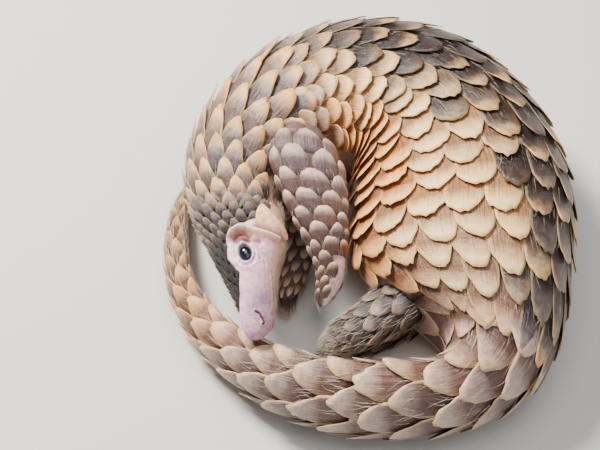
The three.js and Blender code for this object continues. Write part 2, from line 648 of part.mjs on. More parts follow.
const headRows = rowPlaces(BODY_RIBS, HEAD_SCALES.from, HEAD_SCALES.to);
const skull = scalyForm(BODY_RIBS, { from: 0, to: HEAD_END }, headRows, HEAD_SCALES);
const folds = [1, -1].flatMap((side) => [foldAlong(BROW_PATH, BROW_RADII, side), eyelids(side)]);
const mirrored = (path) => path.map(([t, angle]) => [t, -angle]);
const hollows = [
  ...[1, -1].map((side) => sphereAt(eyeCentre(side), EYE.radius + GAP, 14, 8)),
  slitAlong(NOSTRIL_PATH, 0.8, 2),
  slitAlong(mirrored(NOSTRIL_PATH), 0.8, 2),
  slitAlong([...MOUTH_PATH, ...mirrored(MOUTH_PATH.slice(0, -1)).reverse().map(([t, a]) => [t, a + 360])], 0.7, 1.8),
];
const head = wasm.Manifold.union([skull, ...folds]).subtract(wasm.Manifold.union(hollows));
addPart("head", cutAtRibs(head, BODY_RIBS, 0, HEAD_END), SKIN_MATERIAL);

const headAndNeck = formBetween(BODY_RIBS, 0, NECK_END, HEAD_STEP, SEAT_SIDES, () => GAP);
for (const [name, side] of [["left", 1], ["right", -1]]) {
  addPart(`eye_${name}`, sphereAt(eyeCentre(side), EYE.radius, 14, 8), EYE_MATERIAL);
  const fold = foldAlong(BROW_PATH, BROW_RADII.map((radius) => radius + GAP), side);
  addPart(`ear_${name}`, ear(side).subtract(headAndNeck).subtract(fold), SKIN_MATERIAL);
}

// The middle of the base is the origin
const box = new THREE.Box3().setFromObject(group);
const middle = box.getCenter(new THREE.Vector3());
group.position.set(-middle.x, -middle.y, -box.min.z);

export default group;
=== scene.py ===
# %% [markdown]
# # A curled-up pangolin, still and life-size
#
# The animal lies on its right side with its back outwards and its tail wrapped round the
# front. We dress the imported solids: one skin, a coat of horn scales that overlap like roof
# tiles, a bare pink face, glossy eyes, ears, claws and sparse whitish hairs. Everything is
# worked out with numpy from a few ribs, so a learner can follow each shape from its formula.

import math

import bpy
import numpy as np
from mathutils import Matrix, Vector


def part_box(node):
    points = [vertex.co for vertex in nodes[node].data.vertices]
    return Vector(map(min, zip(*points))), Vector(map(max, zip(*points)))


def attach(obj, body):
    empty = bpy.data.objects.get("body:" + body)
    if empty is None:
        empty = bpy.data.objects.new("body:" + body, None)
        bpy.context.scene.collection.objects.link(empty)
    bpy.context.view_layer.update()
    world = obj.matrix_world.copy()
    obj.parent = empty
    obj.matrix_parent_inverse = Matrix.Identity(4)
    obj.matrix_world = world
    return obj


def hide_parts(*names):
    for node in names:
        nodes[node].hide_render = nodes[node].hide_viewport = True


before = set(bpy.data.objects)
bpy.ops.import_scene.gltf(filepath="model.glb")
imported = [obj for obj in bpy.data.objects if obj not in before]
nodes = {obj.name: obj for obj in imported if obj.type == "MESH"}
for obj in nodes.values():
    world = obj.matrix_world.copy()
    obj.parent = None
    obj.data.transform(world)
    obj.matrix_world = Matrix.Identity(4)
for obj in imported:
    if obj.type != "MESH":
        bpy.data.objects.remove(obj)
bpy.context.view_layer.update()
print("CAD nodes:", sorted(nodes))

# %% [markdown]
# ## The ribs
#
# A curled body is easiest to state as flat sections, or ribs, along a bent line. Each rib
# says where its middle is, which way the back faces, how far it leans, and how far the
# outline reaches to the back, the belly, the upper and the lower side. A spline joins them.
# A sculpted mesh would give the same shape, but could not be measured along its length,
# and the scales need just that: a place along the body and an angle round it.

# %% Ribs of the body, nose first
# x, y, z, turn, lean, back, belly, high, low, coat, row spacing (mm and degrees)
BODY = np.array([
    [-31, -110, 82, 196, 10, 3, 3, 3, 3, 0, 5],
    [-31, -107, 82, 196, 10, 8, 8, 8, 8, 0, 5],
    [-31, -100, 83, 195, 10, 12, 12, 12, 12, 0, 5],
    [-33, -83, 86, 193, 10, 15, 15, 15, 15, 0.5, 5],
    [-37, -62, 88, 190, 10, 21, 21, 20, 20, 1, 6],
    [-42, -38, 88, 186, 10, 28, 31, 27, 26, 1.5, 7],
    [-49, -10, 84, 178, 10, 35, 36, 33, 33, 3, 11],
    [-53, 28, 76, 165, 10, 41, 42, 42, 44, 4, 17],
    [-37, 68, 70, 142, 10, 52, 47, 53, 58, 5, 21],
    [-6, 100, 68, 118, 10, 61, 58, 61, 69, 5, 22],
    [37, 115, 67, 90, 10, 70, 64, 65, 69, 5, 23],
    [83, 108, 66, 58, 10, 78, 74, 67, 69, 5, 24],
    [117, 72, 66, 28, 10, 84, 86, 68, 69, 5, 24],
    [130, 18, 65, 10, 10, 90, 95, 68, 68, 5, 24],
    [127, -35, 64, 0, 10, 88, 88, 67, 67, 5, 24],
    [133, -84, 58, -14, 8, 70, 62, 58, 61, 5, 25],
    [132, -114, 50, -40, 5, 49, 30, 51, 52, 5, 26],
    [107, -130, 46, -62, 0, 41, 14, 46, 47, 5, 27],
    [66, -133, 45, -80, 0, 41, 9, 47, 46, 5, 26],
    [22, -128, 42, -95, 0, 38, 8, 44, 43, 5, 25],
    [-14, -114, 38, -112, 0, 34, 8, 38, 39, 4.5, 23],
    [-45, -94, 33, -130, 0, 28, 7, 32, 34, 4, 21],
    [-70, -68, 28, -148, 0, 24, 7, 27, 29, 4, 19],
    [-88, -36, 23, -166, 0, 20, 6, 22, 24, 3.5, 17],
    [-96, 2, 18, -182, 0, 17, 6, 17, 19, 3, 15],
    [-97, 36, 13, -190, 0, 13, 5, 12, 14, 2, 13],
    [-94, 60, 9, -195, 0, 8, 4, 8, 10, 1, 10],
    [-92, 68, 7, -196, 0, 3, 3, 4, 5, 0.5, 8],
], float)
LIMBS = {
    "foreleg_left": np.array([
        [2, 62, 100, 172, 30, 20, 20, 14, 26, 3, 17],
        [6, 42, 106, 176, 25, 30, 26, 17, 30, 3, 16],
        [11, 22, 104, 178, 22, 35, 26, 17, 26, 3, 14],
        [17, 0, 95, 180, 22, 31, 21, 15, 22, 3, 12],
        [23, -22, 82, 184, 20, 23, 15, 13, 17, 2.5, 10],
        [26, -40, 66, 190, 15, 15, 12, 11, 12, 2, 8],
        [24, -51, 55, 190, 8, 12, 11, 9, 10, 1.5, 7],
        [20, -60, 48, 190, 4, 9, 8, 6, 7, 1, 6],
        [18, -65, 45, 190, 0, 4, 4, 2, 2, 0.5, 5],
    ], float),
    "foreleg_right": np.array([
        [4, 58, 38, 172, 0, 20, 20, 20, 18, 3, 15],
        [4, 36, 32, 176, 0, 22, 20, 17, 17, 3, 14],
        [3, 12, 26, 184, 0, 18, 17, 14, 15, 2.5, 12],
        [-1, -10, 21, 192, 0, 14, 14, 11, 13, 2, 10],
        [-6, -28, 16, 194, 0, 12, 12, 9, 11, 1.5, 9],
        [-9, -40, 13, 194, 0, 9, 9, 7, 8, 1, 8],
        [-10, -45, 12, 194, 0, 4, 4, 3, 4, 0.5, 6],
    ], float),
    "hindleg_left": np.array([
        [106, -44, 60, -50, 20, 22, 24, 22, 26, 3, 19],
        [86, -60, 57, -52, 20, 24, 24, 22, 25, 3, 17],
        [66, -74, 53, -55, 20, 22, 21, 20, 20, 3, 15],
        [48, -85, 49, -60, 20, 19, 18, 17, 16, 2.5, 13],
        [33, -92, 46, -65, 20, 15, 15, 14, 13, 2, 10],
        [23, -96, 44, -68, 20, 10, 10, 9, 9, 1.5, 8],
        [19, -97, 43, -70, 20, 4, 4, 4, 4, 0.5, 6],
    ], float),
    "hindleg_right": np.array([
        [104, -42, 18, -50, 0, 20, 20, 13, 16, 3, 17],
        [84, -58, 15, -55, 0, 20, 20, 13, 15, 3, 16],
        [64, -71, 14, -60, 0, 18, 18, 12, 14, 2.5, 14],
        [46, -80, 13, -65, 0, 15, 15, 11, 13, 2, 12],
        [31, -86, 12, -70, 0, 12, 12, 10, 12, 1.5, 10],
        [22, -89, 11, -72, 0, 8, 8, 7, 9, 1, 8],
        [18, -90, 10, -74, 0, 3, 3, 3, 4, 0.5, 6],
    ], float),
}

# What a row of ribs holds after the place x, y, z of its middle
TURN, LEAN, TO_BACK, TO_BELLY, TO_HIGH, TO_LOW, COAT, SPACING = range(3, 11)
print(len(BODY), "ribs along the body and", {name: len(table) for name, table in LIMBS.items()})


# %% From ribs to a surface
def between(ribs, t):
    """Rows of rib values at places t: a Catmull-Rom spline, which is half of the sum of
    four neighbours weighted by cubes of the share f of the way to the next rib."""
    t = np.asarray(t, float)
    last = len(ribs) - 1
    cell = np.clip(np.floor(t).astype(int), 0, last - 1)
    f = (t - cell)[..., None]
    a, b, c, d = (ribs[np.clip(cell + k, 0, last)] for k in (-1, 0, 1, 2))
    curve = c - a + (2 * a - 5 * b + 4 * c - d) * f + (3 * b - 3 * c + d - a) * f * f
    return b + 0.5 * f * curve


def surface(ribs, t, angle, lift=0.0):
    """Points of the outline in mm: centre + (A cos + lift n) toward the back + (B sin + lift n)
    toward the upper side, where A and B are the reaches on that quarter of the rib and n the
    normal of the quarter ellipse. Angle 0 is the middle of the back, and a quarter turn its
    upper side."""
    t, angle, lift = np.broadcast_arrays(t, angle, lift)
    rib = between(ribs, t)
    turn = np.radians(rib[..., TURN])
    lean = np.radians(rib[..., LEAN])
    outward = np.stack([np.cos(turn), np.sin(turn), 0 * turn], -1)
    up = np.array([0.0, 0.0, 1.0])
    cos_lean = np.cos(lean)[..., None]
    sin_lean = np.sin(lean)[..., None]
    to_back = cos_lean * outward + sin_lean * up
    to_upper = cos_lean * up - sin_lean * outward
    c = np.cos(angle)
    s = np.sin(angle)
    depth = np.where(c > 0, rib[..., TO_BACK], rib[..., TO_BELLY])
    width = np.where(s > 0, rib[..., TO_HIGH], rib[..., TO_LOW])
    slope = np.hypot(c / depth, s / width)
    back = depth * c + lift * c / (depth * slope)
    upper = width * s + lift * s / (width * slope)
    return rib[..., :3] + back[..., None] * to_back + upper[..., None] * to_upper


def normals(ribs, t, angle):
    """Outward unit vectors: the surface lifted by one, less the surface itself."""
    way = surface(ribs, t, angle, 1.0) - surface(ribs, t, angle)
    return way / np.linalg.norm(way, axis=-1, keepdims=True)


# The eye's place along the head and round it, its radius, and how deep it is set (mm)
EYE_T = 4.42
EYE_ANGLE = math.radians(75)
EYE_RADIUS = 5.2
EYE_SEAT = 3.4
MM = 1000


def eye_centre(side):
    """The skin at the eye's place, sunk by the seat along its normal."""
    angle = side * EYE_ANGLE
    return surface(BODY, EYE_T, angle) - EYE_SEAT * normals(BODY, EYE_T, angle)


low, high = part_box("eye_left")
SHIFT = (np.array(low) + np.array(high)) / 2 * MM - eye_centre(1)
print("the ribs are moved by (mm)", SHIFT.round(2))

# %% [markdown]
# ## From arrays to meshes
#
# Blender takes a mesh as flat arrays, so one helper hands over points, faces and whatever
# each point carries: a colour, a number, or a place in a UV map. Two UV maps are kept.
# "Scale" runs across and along each scale, for the grain of the horn. "OFBake" holds each
# scale or hair as a small patch at its root's place on an unwrap of the whole body.

# %% Making a mesh
FLOOR_CLEARANCE = 0.2


def linear(red, green, blue):
    """A colour as it looks on a screen, turned to the linear values that Blender mixes:
    the screen value plus 0.055, over 1.055, to the power 2.4."""
    value = np.array([red, green, blue], float)
    return np.where(value <= 0.04045, value / 12.92, ((value + 0.055) / 1.055) ** 2.4)


def make_mesh(name, points, faces, material, uvs=None, colours=None, numbers=None):
    """A mesh object at the origin: points in mm are moved by SHIFT, kept above the floor and
    given in metres. uvs, colours and numbers are dictionaries of values for each point, and
    a UV map may also give one for each corner of each face."""
    points = points.reshape(-1, 3) + SHIFT
    points[:, 2] = np.maximum(points[:, 2], FLOOR_CLEARANCE)
    faces = np.asarray(faces)
    mesh = bpy.data.meshes.new(name)
    mesh.vertices.add(len(points))
    mesh.vertices.foreach_set("co", (points / MM).astype(np.float32).ravel())
    corners = faces.shape[1]
    mesh.loops.add(faces.size)
    mesh.loops.foreach_set("vertex_index", faces.astype(np.int32).ravel())
    mesh.polygons.add(len(faces))
    mesh.polygons.foreach_set("loop_start", np.arange(0, faces.size, corners, dtype=np.int32))
    mesh.polygons.foreach_set("use_smooth", np.full(len(faces), True))
    for key, value in (uvs or {}).items():
        layer = mesh.uv_layers.new(name=key)
        if len(value) != faces.size:
            value = value.reshape(-1, 2)[faces.ravel()]
        layer.data.foreach_set("uv", value.astype(np.float32).ravel())
    for key, value in (colours or {}).items():
        full = np.ones((len(points), 4), np.float32)
        full[:, :3] = value.reshape(-1, 3)
        mesh.attributes.new(key, "FLOAT_COLOR", "POINT").data.foreach_set("color", full.ravel())
    for key, value in (numbers or {}).items():
        layer = mesh.attributes.new(key, "FLOAT", "POINT")
        layer.data.foreach_set("value", value.astype(np.float32).ravel())
    mesh.update()
    mesh.validate()
    piece = bpy.data.objects.new(name, mesh)
    bpy.context.collection.objects.link(piece)
    mesh.materials.append(material)
    print(name, len(points), "points,", len(faces), "faces")
    return piece


def grid_faces(rows, columns, wrap=False):
    """Quads of a grid of points, row by row: each joins a point, the next in its row, and
    the two after them. With wrap the last column meets the first."""
    row = np.arange(rows - 1)[:, None]
    column = np.arange(columns if wrap else columns - 1)[None, :]
    after = (column + 1) % columns
    quads = [row * columns + column, row * columns + after,
             (row + 1) * columns + after, (row + 1) * columns + column]
    return np.stack(np.broadcast_arrays(*quads), -1).reshape(-1, 4)


def copies(faces, number, size):
    """The same faces for each of a number of like shapes, which have size points apiece."""
    return (faces[None] + (np.arange(number) * size)[:, None, None]).reshape(-1, 4)


# %% Places on the unwrap
# OFBake is one unit square: the body's strip, then one strip for each limb
BODY_STRIP = 0.6
LIMB_STRIP = 0.1
LIMB_HEIGHT = 0.095
STRIP_GAP = 0.01
STRIP_LENGTH = 0.97
PATCH = 0.003


def bake_place(ribs_name, t, angle):
    """The unwrap that OFBake shares: along the body to the right, round it upwards, with a
    strip of its own for the body and for each limb."""
    strip = ["body", *LIMBS].index(ribs_name)
    last = len(BODY if strip == 0 else LIMBS[ribs_name]) - 1
    foot, height = 0.0, BODY_STRIP
    if strip > 0:
        foot, height = BODY_STRIP + LIMB_STRIP * (strip - 1), LIMB_HEIGHT
    around = (np.asarray(angle) / (2 * np.pi)) % 1.0
    across = STRIP_GAP + STRIP_LENGTH * np.asarray(t) / last
    upward = foot + STRIP_GAP + (height - 2 * STRIP_GAP) * around
    return np.stack(np.broadcast_arrays(across, upward), -1)


def patch(ribs_name, t, angle, inside):
    """The patch of a scale, hair, claw or ear: the place of its root on the unwrap, plus the
    patch's side times each point's place inside it."""
    return bake_place(ribs_name, t, angle)[..., None, :] + PATCH * inside


print("a scale's patch is", PATCH, "of the unwrap's side")

# %% [markdown]
# ## Colours of the coat
#
# The horn isn't one colour. The upper flank is worn to a warm cream, the edge of the back
# is grey-brown with a purple cast and painted shade, the inner edge of the flank and the end of
# the tail are orange, the crown is dark, and the snout's dark brown is painted nearly black
# with the shade of the gap by the tail. A function of the place on the body blends these, and
# every scale adds a small chance of its own, as no two are alike.

# %% The coat's colours by place
CREAM = linear(0.97, 0.78, 0.50)
TAN = linear(0.76, 0.56, 0.40)
UMBER = linear(0.28, 0.20, 0.18)
SLATE = linear(0.46, 0.39, 0.40)
ORANGE = linear(0.93, 0.61, 0.25)
AMBER = linear(0.84, 0.54, 0.20)
CROWN = linear(0.31, 0.26, 0.27)
HONEY = linear(0.90, 0.57, 0.16)
PEARL = linear(0.68, 0.60, 0.60)
# The snout's own dark brown, painted nearly black with the shade of the deep gap between head and
# tail
SHADED_SNOUT = linear(0.09, 0.05, 0.045)
LEG = linear(0.70, 0.62, 0.61)
PALE_RIM = linear(0.97, 0.81, 0.55)
VARIETY = 0.12


def signed_degrees(angle):
    """An angle in degrees, from -180 to 180 whatever turns it has made."""
    return np.degrees(np.angle(np.exp(1j * angle)))


def ramp(value, start, end):
    """From 0 before start to 1 after end, turning smoothly: 3 x squared less 2 x cubed."""
    x = np.clip((value - start) / (end - start), 0, 1)
    return x * x * (3 - 2 * x)


def blend(first, second, share):
    """first where share is 0 and second where it is 1."""
    return first + (second - first) * np.asarray(share)[..., None]


def varied(colour, chance, by=VARIETY):
    """A colour made lighter or darker by each scale's own chance, from -1 to 1."""
    return colour * (1 + by * chance)[..., None]


def trunk_colour(t, angle, chance, rise):
    """Cream on the upper flank, turning to umber toward the back and the lower side, orange at
    the inner edge, and slate to tan at the shoulder and the hip. The umber, darker still toward
    the shoulder, is partly the horn's own colour and partly painted shade. Some of the dark
    scales have worn, honey-coloured tips."""
    side = signed_degrees(angle)
    ragged = side + 12 * chance
    edge = np.interp(t, [9.5, 11.0, 12.5, 14.0], [88, 92, 72, 56])
    upper = ramp(ragged - edge, -11, 13) * (1 - ramp(ragged, 165, 185))
    # Painted shade: the umber toward the back edge stands partly for shade.
    colour = blend(0.8 * UMBER, CREAM, upper)
    colour = blend(colour, ORANGE, 0.85 * ramp(ragged, 108, 132))
    colour = blend(colour, SLATE, 0.4 * (1 - ramp(ragged, 0, 55)))
    shoulder = 1 - ramp(t + 0.5 * chance, 8.8, 10.2)
    colour = blend(colour, blend(SLATE, TAN, 0.45 + 0.5 * chance), 0.85 * shoulder)
    hip = ramp(t + 0.3 * chance, 13.9, 15.2) * ramp(side, 20, 60)
    colour = blend(colour, blend(SLATE, TAN, 0.25 + 0.4 * chance), 0.80 * hip)
    # Painted shade: scales off the cream upper flank are darkened further toward the shoulder.
    colour = colour * (1 - 0.35 * (1 - upper) * (1 - ramp(t, 11.5, 13.0)))[..., None]
    worn_tip = ramp(rise, 0.72, 0.95) * (1 - upper) * np.clip(0.25 + 0.5 * chance, 0, 1)
    colour = blend(colour, HONEY, worn_tip)
    return varied(colour, chance)


def neck_colour(t, angle, chance, rise):
    """Grey with a purple cast at the root, tan along the middle, and honey-yellow tips."""
    colour = blend(SLATE, TAN, np.clip(0.30 + 0.45 * chance, 0, 1))
    colour = 0.75 * blend(colour, CROWN, 1 - ramp(t + 0.15 * chance, 5.6, 6.4))
    tip = ramp(rise, 0.62, 0.88) * ramp(np.degrees(np.abs(angle)), 12, 40) * ramp(t, 5.8, 6.3)
    return varied(blend(colour, HONEY, (0.8 + 0.2 * chance) * tip), chance)


def tail_colour(t, angle, chance, rise):
    """Slate and pearl grey on the broad face, pale tan on the folded margin, and amber toward
    the tip, which darkens at its end."""
    side = signed_degrees(angle)
    margin = np.exp(-(((np.abs(side) - 90) / 26) ** 2))
    colour = blend(blend(SLATE, PEARL, 0.6 + 0.4 * chance), TAN, 0.15 + 0.6 * margin)
    toward_tip = ramp(t + 0.35 * chance, 20.4, 22.2) * (0.8 + 0.2 * ramp(rise, 0.5, 0.9))
    colour = blend(colour, AMBER, toward_tip)
    return varied(colour, chance) * (1 - 0.45 * ramp(t, 21.4, 23.2))[..., None]


def head_colour(t, angle, chance, rise):
    """Nearly black on the snout, its dark brown scales painted darker with the shade of the gap by
    the tail; grey on the crown.
    """
    return varied(blend(SHADED_SNOUT, CROWN, ramp(t + 0.15 * chance, 4.55, 5.1)), chance, 0.18)


def leg_colour(t, angle, chance, rise):
    """Pale grey with a purple cast, amber low down on the side toward the flank."""
    amber = ramp(t + 0.3 * chance, 3.9, 4.6) * ramp(signed_degrees(angle), 85, 110)
    colour = blend(LEG, TAN, np.clip(0.12 + 0.25 * chance, 0, 1))
    return varied(blend(colour, HONEY, 0.9 * amber), chance)


def hind_colour(t, angle, chance, rise):
    """Darker and greyer than the foreleg."""
    return varied(blend(UMBER, SLATE, np.clip(0.35 + 0.4 * chance, 0, 1)), chance)


print("cream in linear values", CREAM.round(3))

# %% [markdown]
# ## Horn
#
# Horn scales are glossy where they are worn and finely ridged from root to tip where they
# aren't, with a thin pale rim that lets light through. All of that is procedural: noise
# stretched along the scale's own UV map gives the ridges, noise across it the growth lines,
# and a number stored on each point says how near the free edge is.

# %% A small kit for shader nodes
class Shader:
    """A material whose nodes are added by short calls, each giving the socket it makes."""

    def __init__(self, name):
        self.material = bpy.data.materials.new(name)
        self.material.use_nodes = True
        self.tree = self.material.node_tree
        self.principled = self.tree.nodes["Principled BSDF"]

    def put(self, socket, value):
        """Links a socket, or sets a plain value on it."""
        if isinstance(value, bpy.types.NodeSocket):
            self.tree.links.new(value, socket)
        elif hasattr(value, "__len__") and len(value) == 3 and len(socket.default_value) == 4:
            socket.default_value = (*[float(v) for v in value], 1.0)
        else:
            socket.default_value = value

    def node(self, kind, out=0, settings=None, **inputs):
        """A node of that kind with its inputs set by name, or by number as i0, i1 and so on,
        and its output socket."""
        made = self.tree.nodes.new(kind)
        for key, value in (settings or {}).items():
            setattr(made, key, value)
        for key, value in inputs.items():
            numbered = key[0] == "i" and key[1:].isdigit()
            self.put(made.inputs[int(key[1:]) if numbered else key], value)
        return made.outputs[out]

    def here(self):
        """The place on the piece, in metres."""
        return self.node("ShaderNodeTexCoord", "Object")

    def attribute(self, name, out="Color"):
        """What a mesh carries on its points under that name."""
        return self.node("ShaderNodeAttribute", out, {"attribute_name": name})

    def math(self, operation, first, second=0.0, third=0.0, clamp=True):
        """Arithmetic on numbers, kept between 0 and 1 unless clamp is off."""
        settings = {"operation": operation, "use_clamp": clamp}
        return self.node("ShaderNodeMath", 0, settings, i0=first, i1=second, i2=third)

    def product(self, *factors):
        """Numbers multiplied one after another."""
        result = factors[0]
        for factor in factors[1:]:
            result = self.math("MULTIPLY", result, factor)
        return result

    def rising(self, value, start, end):
        """0 up to start, 1 from end on, and evenly rising in between."""
        limits = {"From Min": start, "From Max": end}
        return self.node("ShaderNodeMapRange", 0, None, Value=value, **limits)

    def mix(self, share, first, second, way="MIX"):
        """One colour over another by share."""
        settings = {"data_type": "RGBA", "blend_type": way}
        return self.node("ShaderNodeMix", 2, settings, i0=share, i6=first, i7=second)

    def tinted(self, colour, tint):
        """A colour multiplied by another."""
        return self.mix(1.0, colour, tint, "MULTIPLY")

    def noise(self, vector, scale, detail=3.0, rough=0.5):
        """Cloudy noise between 0 and 1."""
        return self.node("ShaderNodeTexNoise", "Fac", None, Vector=vector, Scale=scale,
                         Detail=detail, Roughness=rough)

    def stretched(self, vector, scale):
        """Coordinates stretched by three factors."""
        return self.node("ShaderNodeMapping", 0, None, Vector=vector, Scale=scale)

    def relief(self, *layers):
        """Bumps laid over one another, each a height, a strength and a depth in metres."""
        below = {}
        for height, strength, depth in layers:
            below["Normal"] = self.node("ShaderNodeBump", 0, None, Height=height,
                                        Strength=strength, Distance=depth, **below)
        return below["Normal"]

    def look(self, **looks):
        """Sets the surface's own sockets, with _ for each space in a name, and gives the
        finished material."""
        for key, value in looks.items():
            self.put(self.principled.inputs[key.replace("_", " ")], value)
        return self.material


# %% The horn, ridged at the root and worn toward the free edge
WORN = linear(0.92, 0.80, 0.66)
POLISHED = linear(0.98, 0.90, 0.79)
RIDGE_SHADE = linear(0.52, 0.42, 0.38)
SPECK_SHADE = linear(0.5, 0.4, 0.35)
GROOVE_SHADE = linear(0.30, 0.23, 0.24)


def horn(name, ridge, gloss, root, gap_shade_strength):
    """Horn: its own colour, ridged at the root and painted darker there with the shade of the
    scale above, worn in the middle, with a pale rim, and painted shade in the grooves beside
    it where the scales are cobbles. Each scale's chance moves it to a part of the noise of its
    own."""
    s = Shader(name)
    tone = s.attribute("tone")
    rim = s.attribute("rim", "Fac")
    uv = s.node("ShaderNodeUVMap", 0, {"uv_map": "Scale"})
    across = s.node("ShaderNodeSeparateXYZ", "X", None, Vector=uv)
    along = s.node("ShaderNodeSeparateXYZ", "Y", None, Vector=uv)
    own = s.math("MULTIPLY", s.attribute("chance", "Fac"), 37.0, clamp=False)
    grain = s.node("ShaderNodeCombineXYZ", 0, None, X=across, Y=along, Z=own)
    ridges = s.noise(s.stretched(grain, (26.0, 1.2, 1.0)), 1.0, 4.0, 0.6)
    fine = s.noise(s.stretched(grain, (70.0, 3.0, 1.0)), 1.0, 2.0, 0.5)
    growth = s.noise(s.stretched(grain, (1.5, 22.0, 1.0)), 1.0, 3.0, 0.5)
    cloud = s.noise(s.here(), 140.0, 4.0, 0.6)
    speck = s.noise(s.here(), 700.0, 3.0, 0.6)
    pale = s.rising(tone, 0.015, 0.12)
    base = s.math("SUBTRACT", 1.0, s.rising(along, 0.48, 0.82))
    arch = s.product(s.math("MULTIPLY", across, 4.0, clamp=False), s.math("SUBTRACT", 1.0, across))
    middle = s.product(arch, s.rising(along, 0.45, 0.8), s.rising(cloud, 0.35, 0.6))
    worn = s.product(s.rising(cloud, 0.42, 0.62), s.math("SUBTRACT", 1.0, base))
    streak = s.product(s.math("MULTIPLY_ADD", base, 0.6, 0.25), s.rising(ridges, 0.45, 0.7))
    speckled = s.product(s.rising(speck, 0.55, 0.75), 0.25)
    # Painted shade at the sides of each cobble, in the grooves between them.
    from_middle = s.math("ABSOLUTE", s.math("MULTIPLY_ADD", across, 2.0, -1.0, clamp=False))
    gap_shade = s.product(s.math("POWER", from_middle, 3.0), gap_shade_strength)
    # Painted shade: the root, under the edge of the scale above, is darkened by the tint root.
    colour = s.mix(s.product(base, 0.9), tone, s.tinted(tone, root))
    colour = s.mix(s.product(worn, pale, 0.28), colour, s.mix(0.45, tone, WORN))
    colour = s.mix(s.product(middle, pale, 0.45), colour, s.mix(0.5, tone, POLISHED))
    colour = s.mix(s.product(streak, 0.7), colour, s.tinted(colour, RIDGE_SHADE))
    colour = s.mix(speckled, colour, s.tinted(colour, SPECK_SHADE))
    colour = s.mix(s.product(rim, pale, 0.75), colour, s.mix(0.6, tone, PALE_RIM))
    colour = s.mix(gap_shade, colour, s.tinted(tone, GROOVE_SHADE))
    ridge_share = s.math("MULTIPLY_ADD", base, 0.6, 0.2)
    height = s.math("MULTIPLY_ADD", ridges, ridge_share, s.product(fine, 0.2))
    return s.look(Base_Color=colour, Roughness=s.math("MULTIPLY_ADD", cloud, 0.34, gloss),
                  Specular_IOR_Level=0.5,
                  Normal=s.relief((height, ridge, 0.0012), (growth, 0.5, 0.0008),
                                  (cloud, 0.5, 0.0012), (speck, 0.15, 0.0003)))


# The fourth value tints the painted shade at the root, the fifth sets the painted shade in the
# grooves.
horn_material = horn("Horn", 1.0, 0.20, linear(0.54, 0.43, 0.40), 0.0)
leg_horn_material = horn("Leg horn", 0.8, 0.24, linear(0.56, 0.49, 0.51), 0.85)
print("horn ready, of", len(horn_material.node_tree.nodes), "nodes")

# %% [markdown]
# ## A bed of scales
#
# A real scale is a flat plate of horn, rooted in the skin and rising toward a free edge
# that lies over the next row. Each is a small grid: one direction runs across it, the other
# from root to tip. Its free edge is drawn back from the middle to the sides by a power of
# the distance across, which gives pointed, rounded or nearly square ends. The underside is
# the same grid lowered by the plate's thickness, and the two are sewn at the rim.

# %% Where the scales of a bed are rooted
STEPS = 1500
rng = np.random.default_rng(7)


def row_places(ribs, start, end, reference, stretch=1.0):
    """Places along the ribs at which the rows stand: the distance along the reference angle
    is summed in steps, each over the spacing that the ribs ask for there."""
    t = np.linspace(start, end, STEPS)
    track = surface(ribs, t, reference)
    steps = np.linalg.norm(np.diff(track, axis=0), axis=1)
    spacing = between(ribs, t)[:-1, SPACING] * stretch
    count = np.concatenate([[0], np.cumsum(steps / spacing)])
    rows = int(round(count[-1]))
    return t, count * rows / count[-1], rows


def roots(rows_from, columns_at, until):
    """The row, the angle and the angle between columns of every scale of a bed."""
    t_fine, row_fine, rows = rows_from
    found = []
    for row in range(rows):
        t = float(np.interp(row, row_fine, t_fine))
        if t > until:
            break
        angles, step = columns_at(row, t)
        found.append(np.stack(np.broadcast_arrays(float(row), angles, step)))
    return np.concatenate(found, 1)


def even_columns(count, stagger, low=180, high=lambda t: 180):
    """Angles of a row: evenly spaced columns about the middle of the back, moved by part of a
    column in every other row, and kept within a reach in degrees on the lower and upper side."""
    def columns(row, t):
        step = 2 * np.pi / count
        angles = (np.arange(count) - count // 2 + (stagger if row % 2 else 0.0)) * step
        angles = np.angle(np.exp(1j * angles))
        keep = (angles >= -np.radians(low) - 1e-6) & (angles <= np.radians(high(t)) + 1e-6)
        return angles[keep], step
    return columns


print("rows along the trunk:", row_places(BODY, 8.6, 15.1, math.radians(60))[2])

# %% One bed of scales, all at once
ACROSS = 11
ALONG = 7
LEAST_COAT = 1.4
# The coat on the trunk in mm, at which the scales' heights below are given
FULL_COAT = 5
# How much scales differ: in place along and across, slant, ragged edge, tilt and depth
ROW_JITTER = 0.05
COLUMN_JITTER = 0.03
SLANT = 0.07
NICK = 0.022
TILT = 0.22
SINK = 0.25
# How far back a scale is rooted, in rows, and how fast its pale rim fades, in mm
ROOT_BACK = 0.75
RIM_FADE = 1.7


def each(values):
    """One value for each scale, ready to be spread over its grid."""
    return np.asarray(values)[:, None, None]


def plate_faces(along, heading):
    """Faces of one scale: its top, its underside turned over, and a strip sewn round the rim."""
    size = along * ACROSS
    quads = grid_faces(along, ACROSS)
    ids = np.arange(size).reshape(along, ACROSS)
    loop = np.concatenate([ids[0, :-1], ids[:-1, -1], ids[-1, :0:-1], ids[:0:-1, 0]])
    after = np.roll(loop, -1)
    rim_quads = np.stack([loop, loop + size, after + size, after], 1)
    one = np.concatenate([quads, quads[:, ::-1] + size, rim_quads])
    return one[:, ::-1] if heading < 0 else one


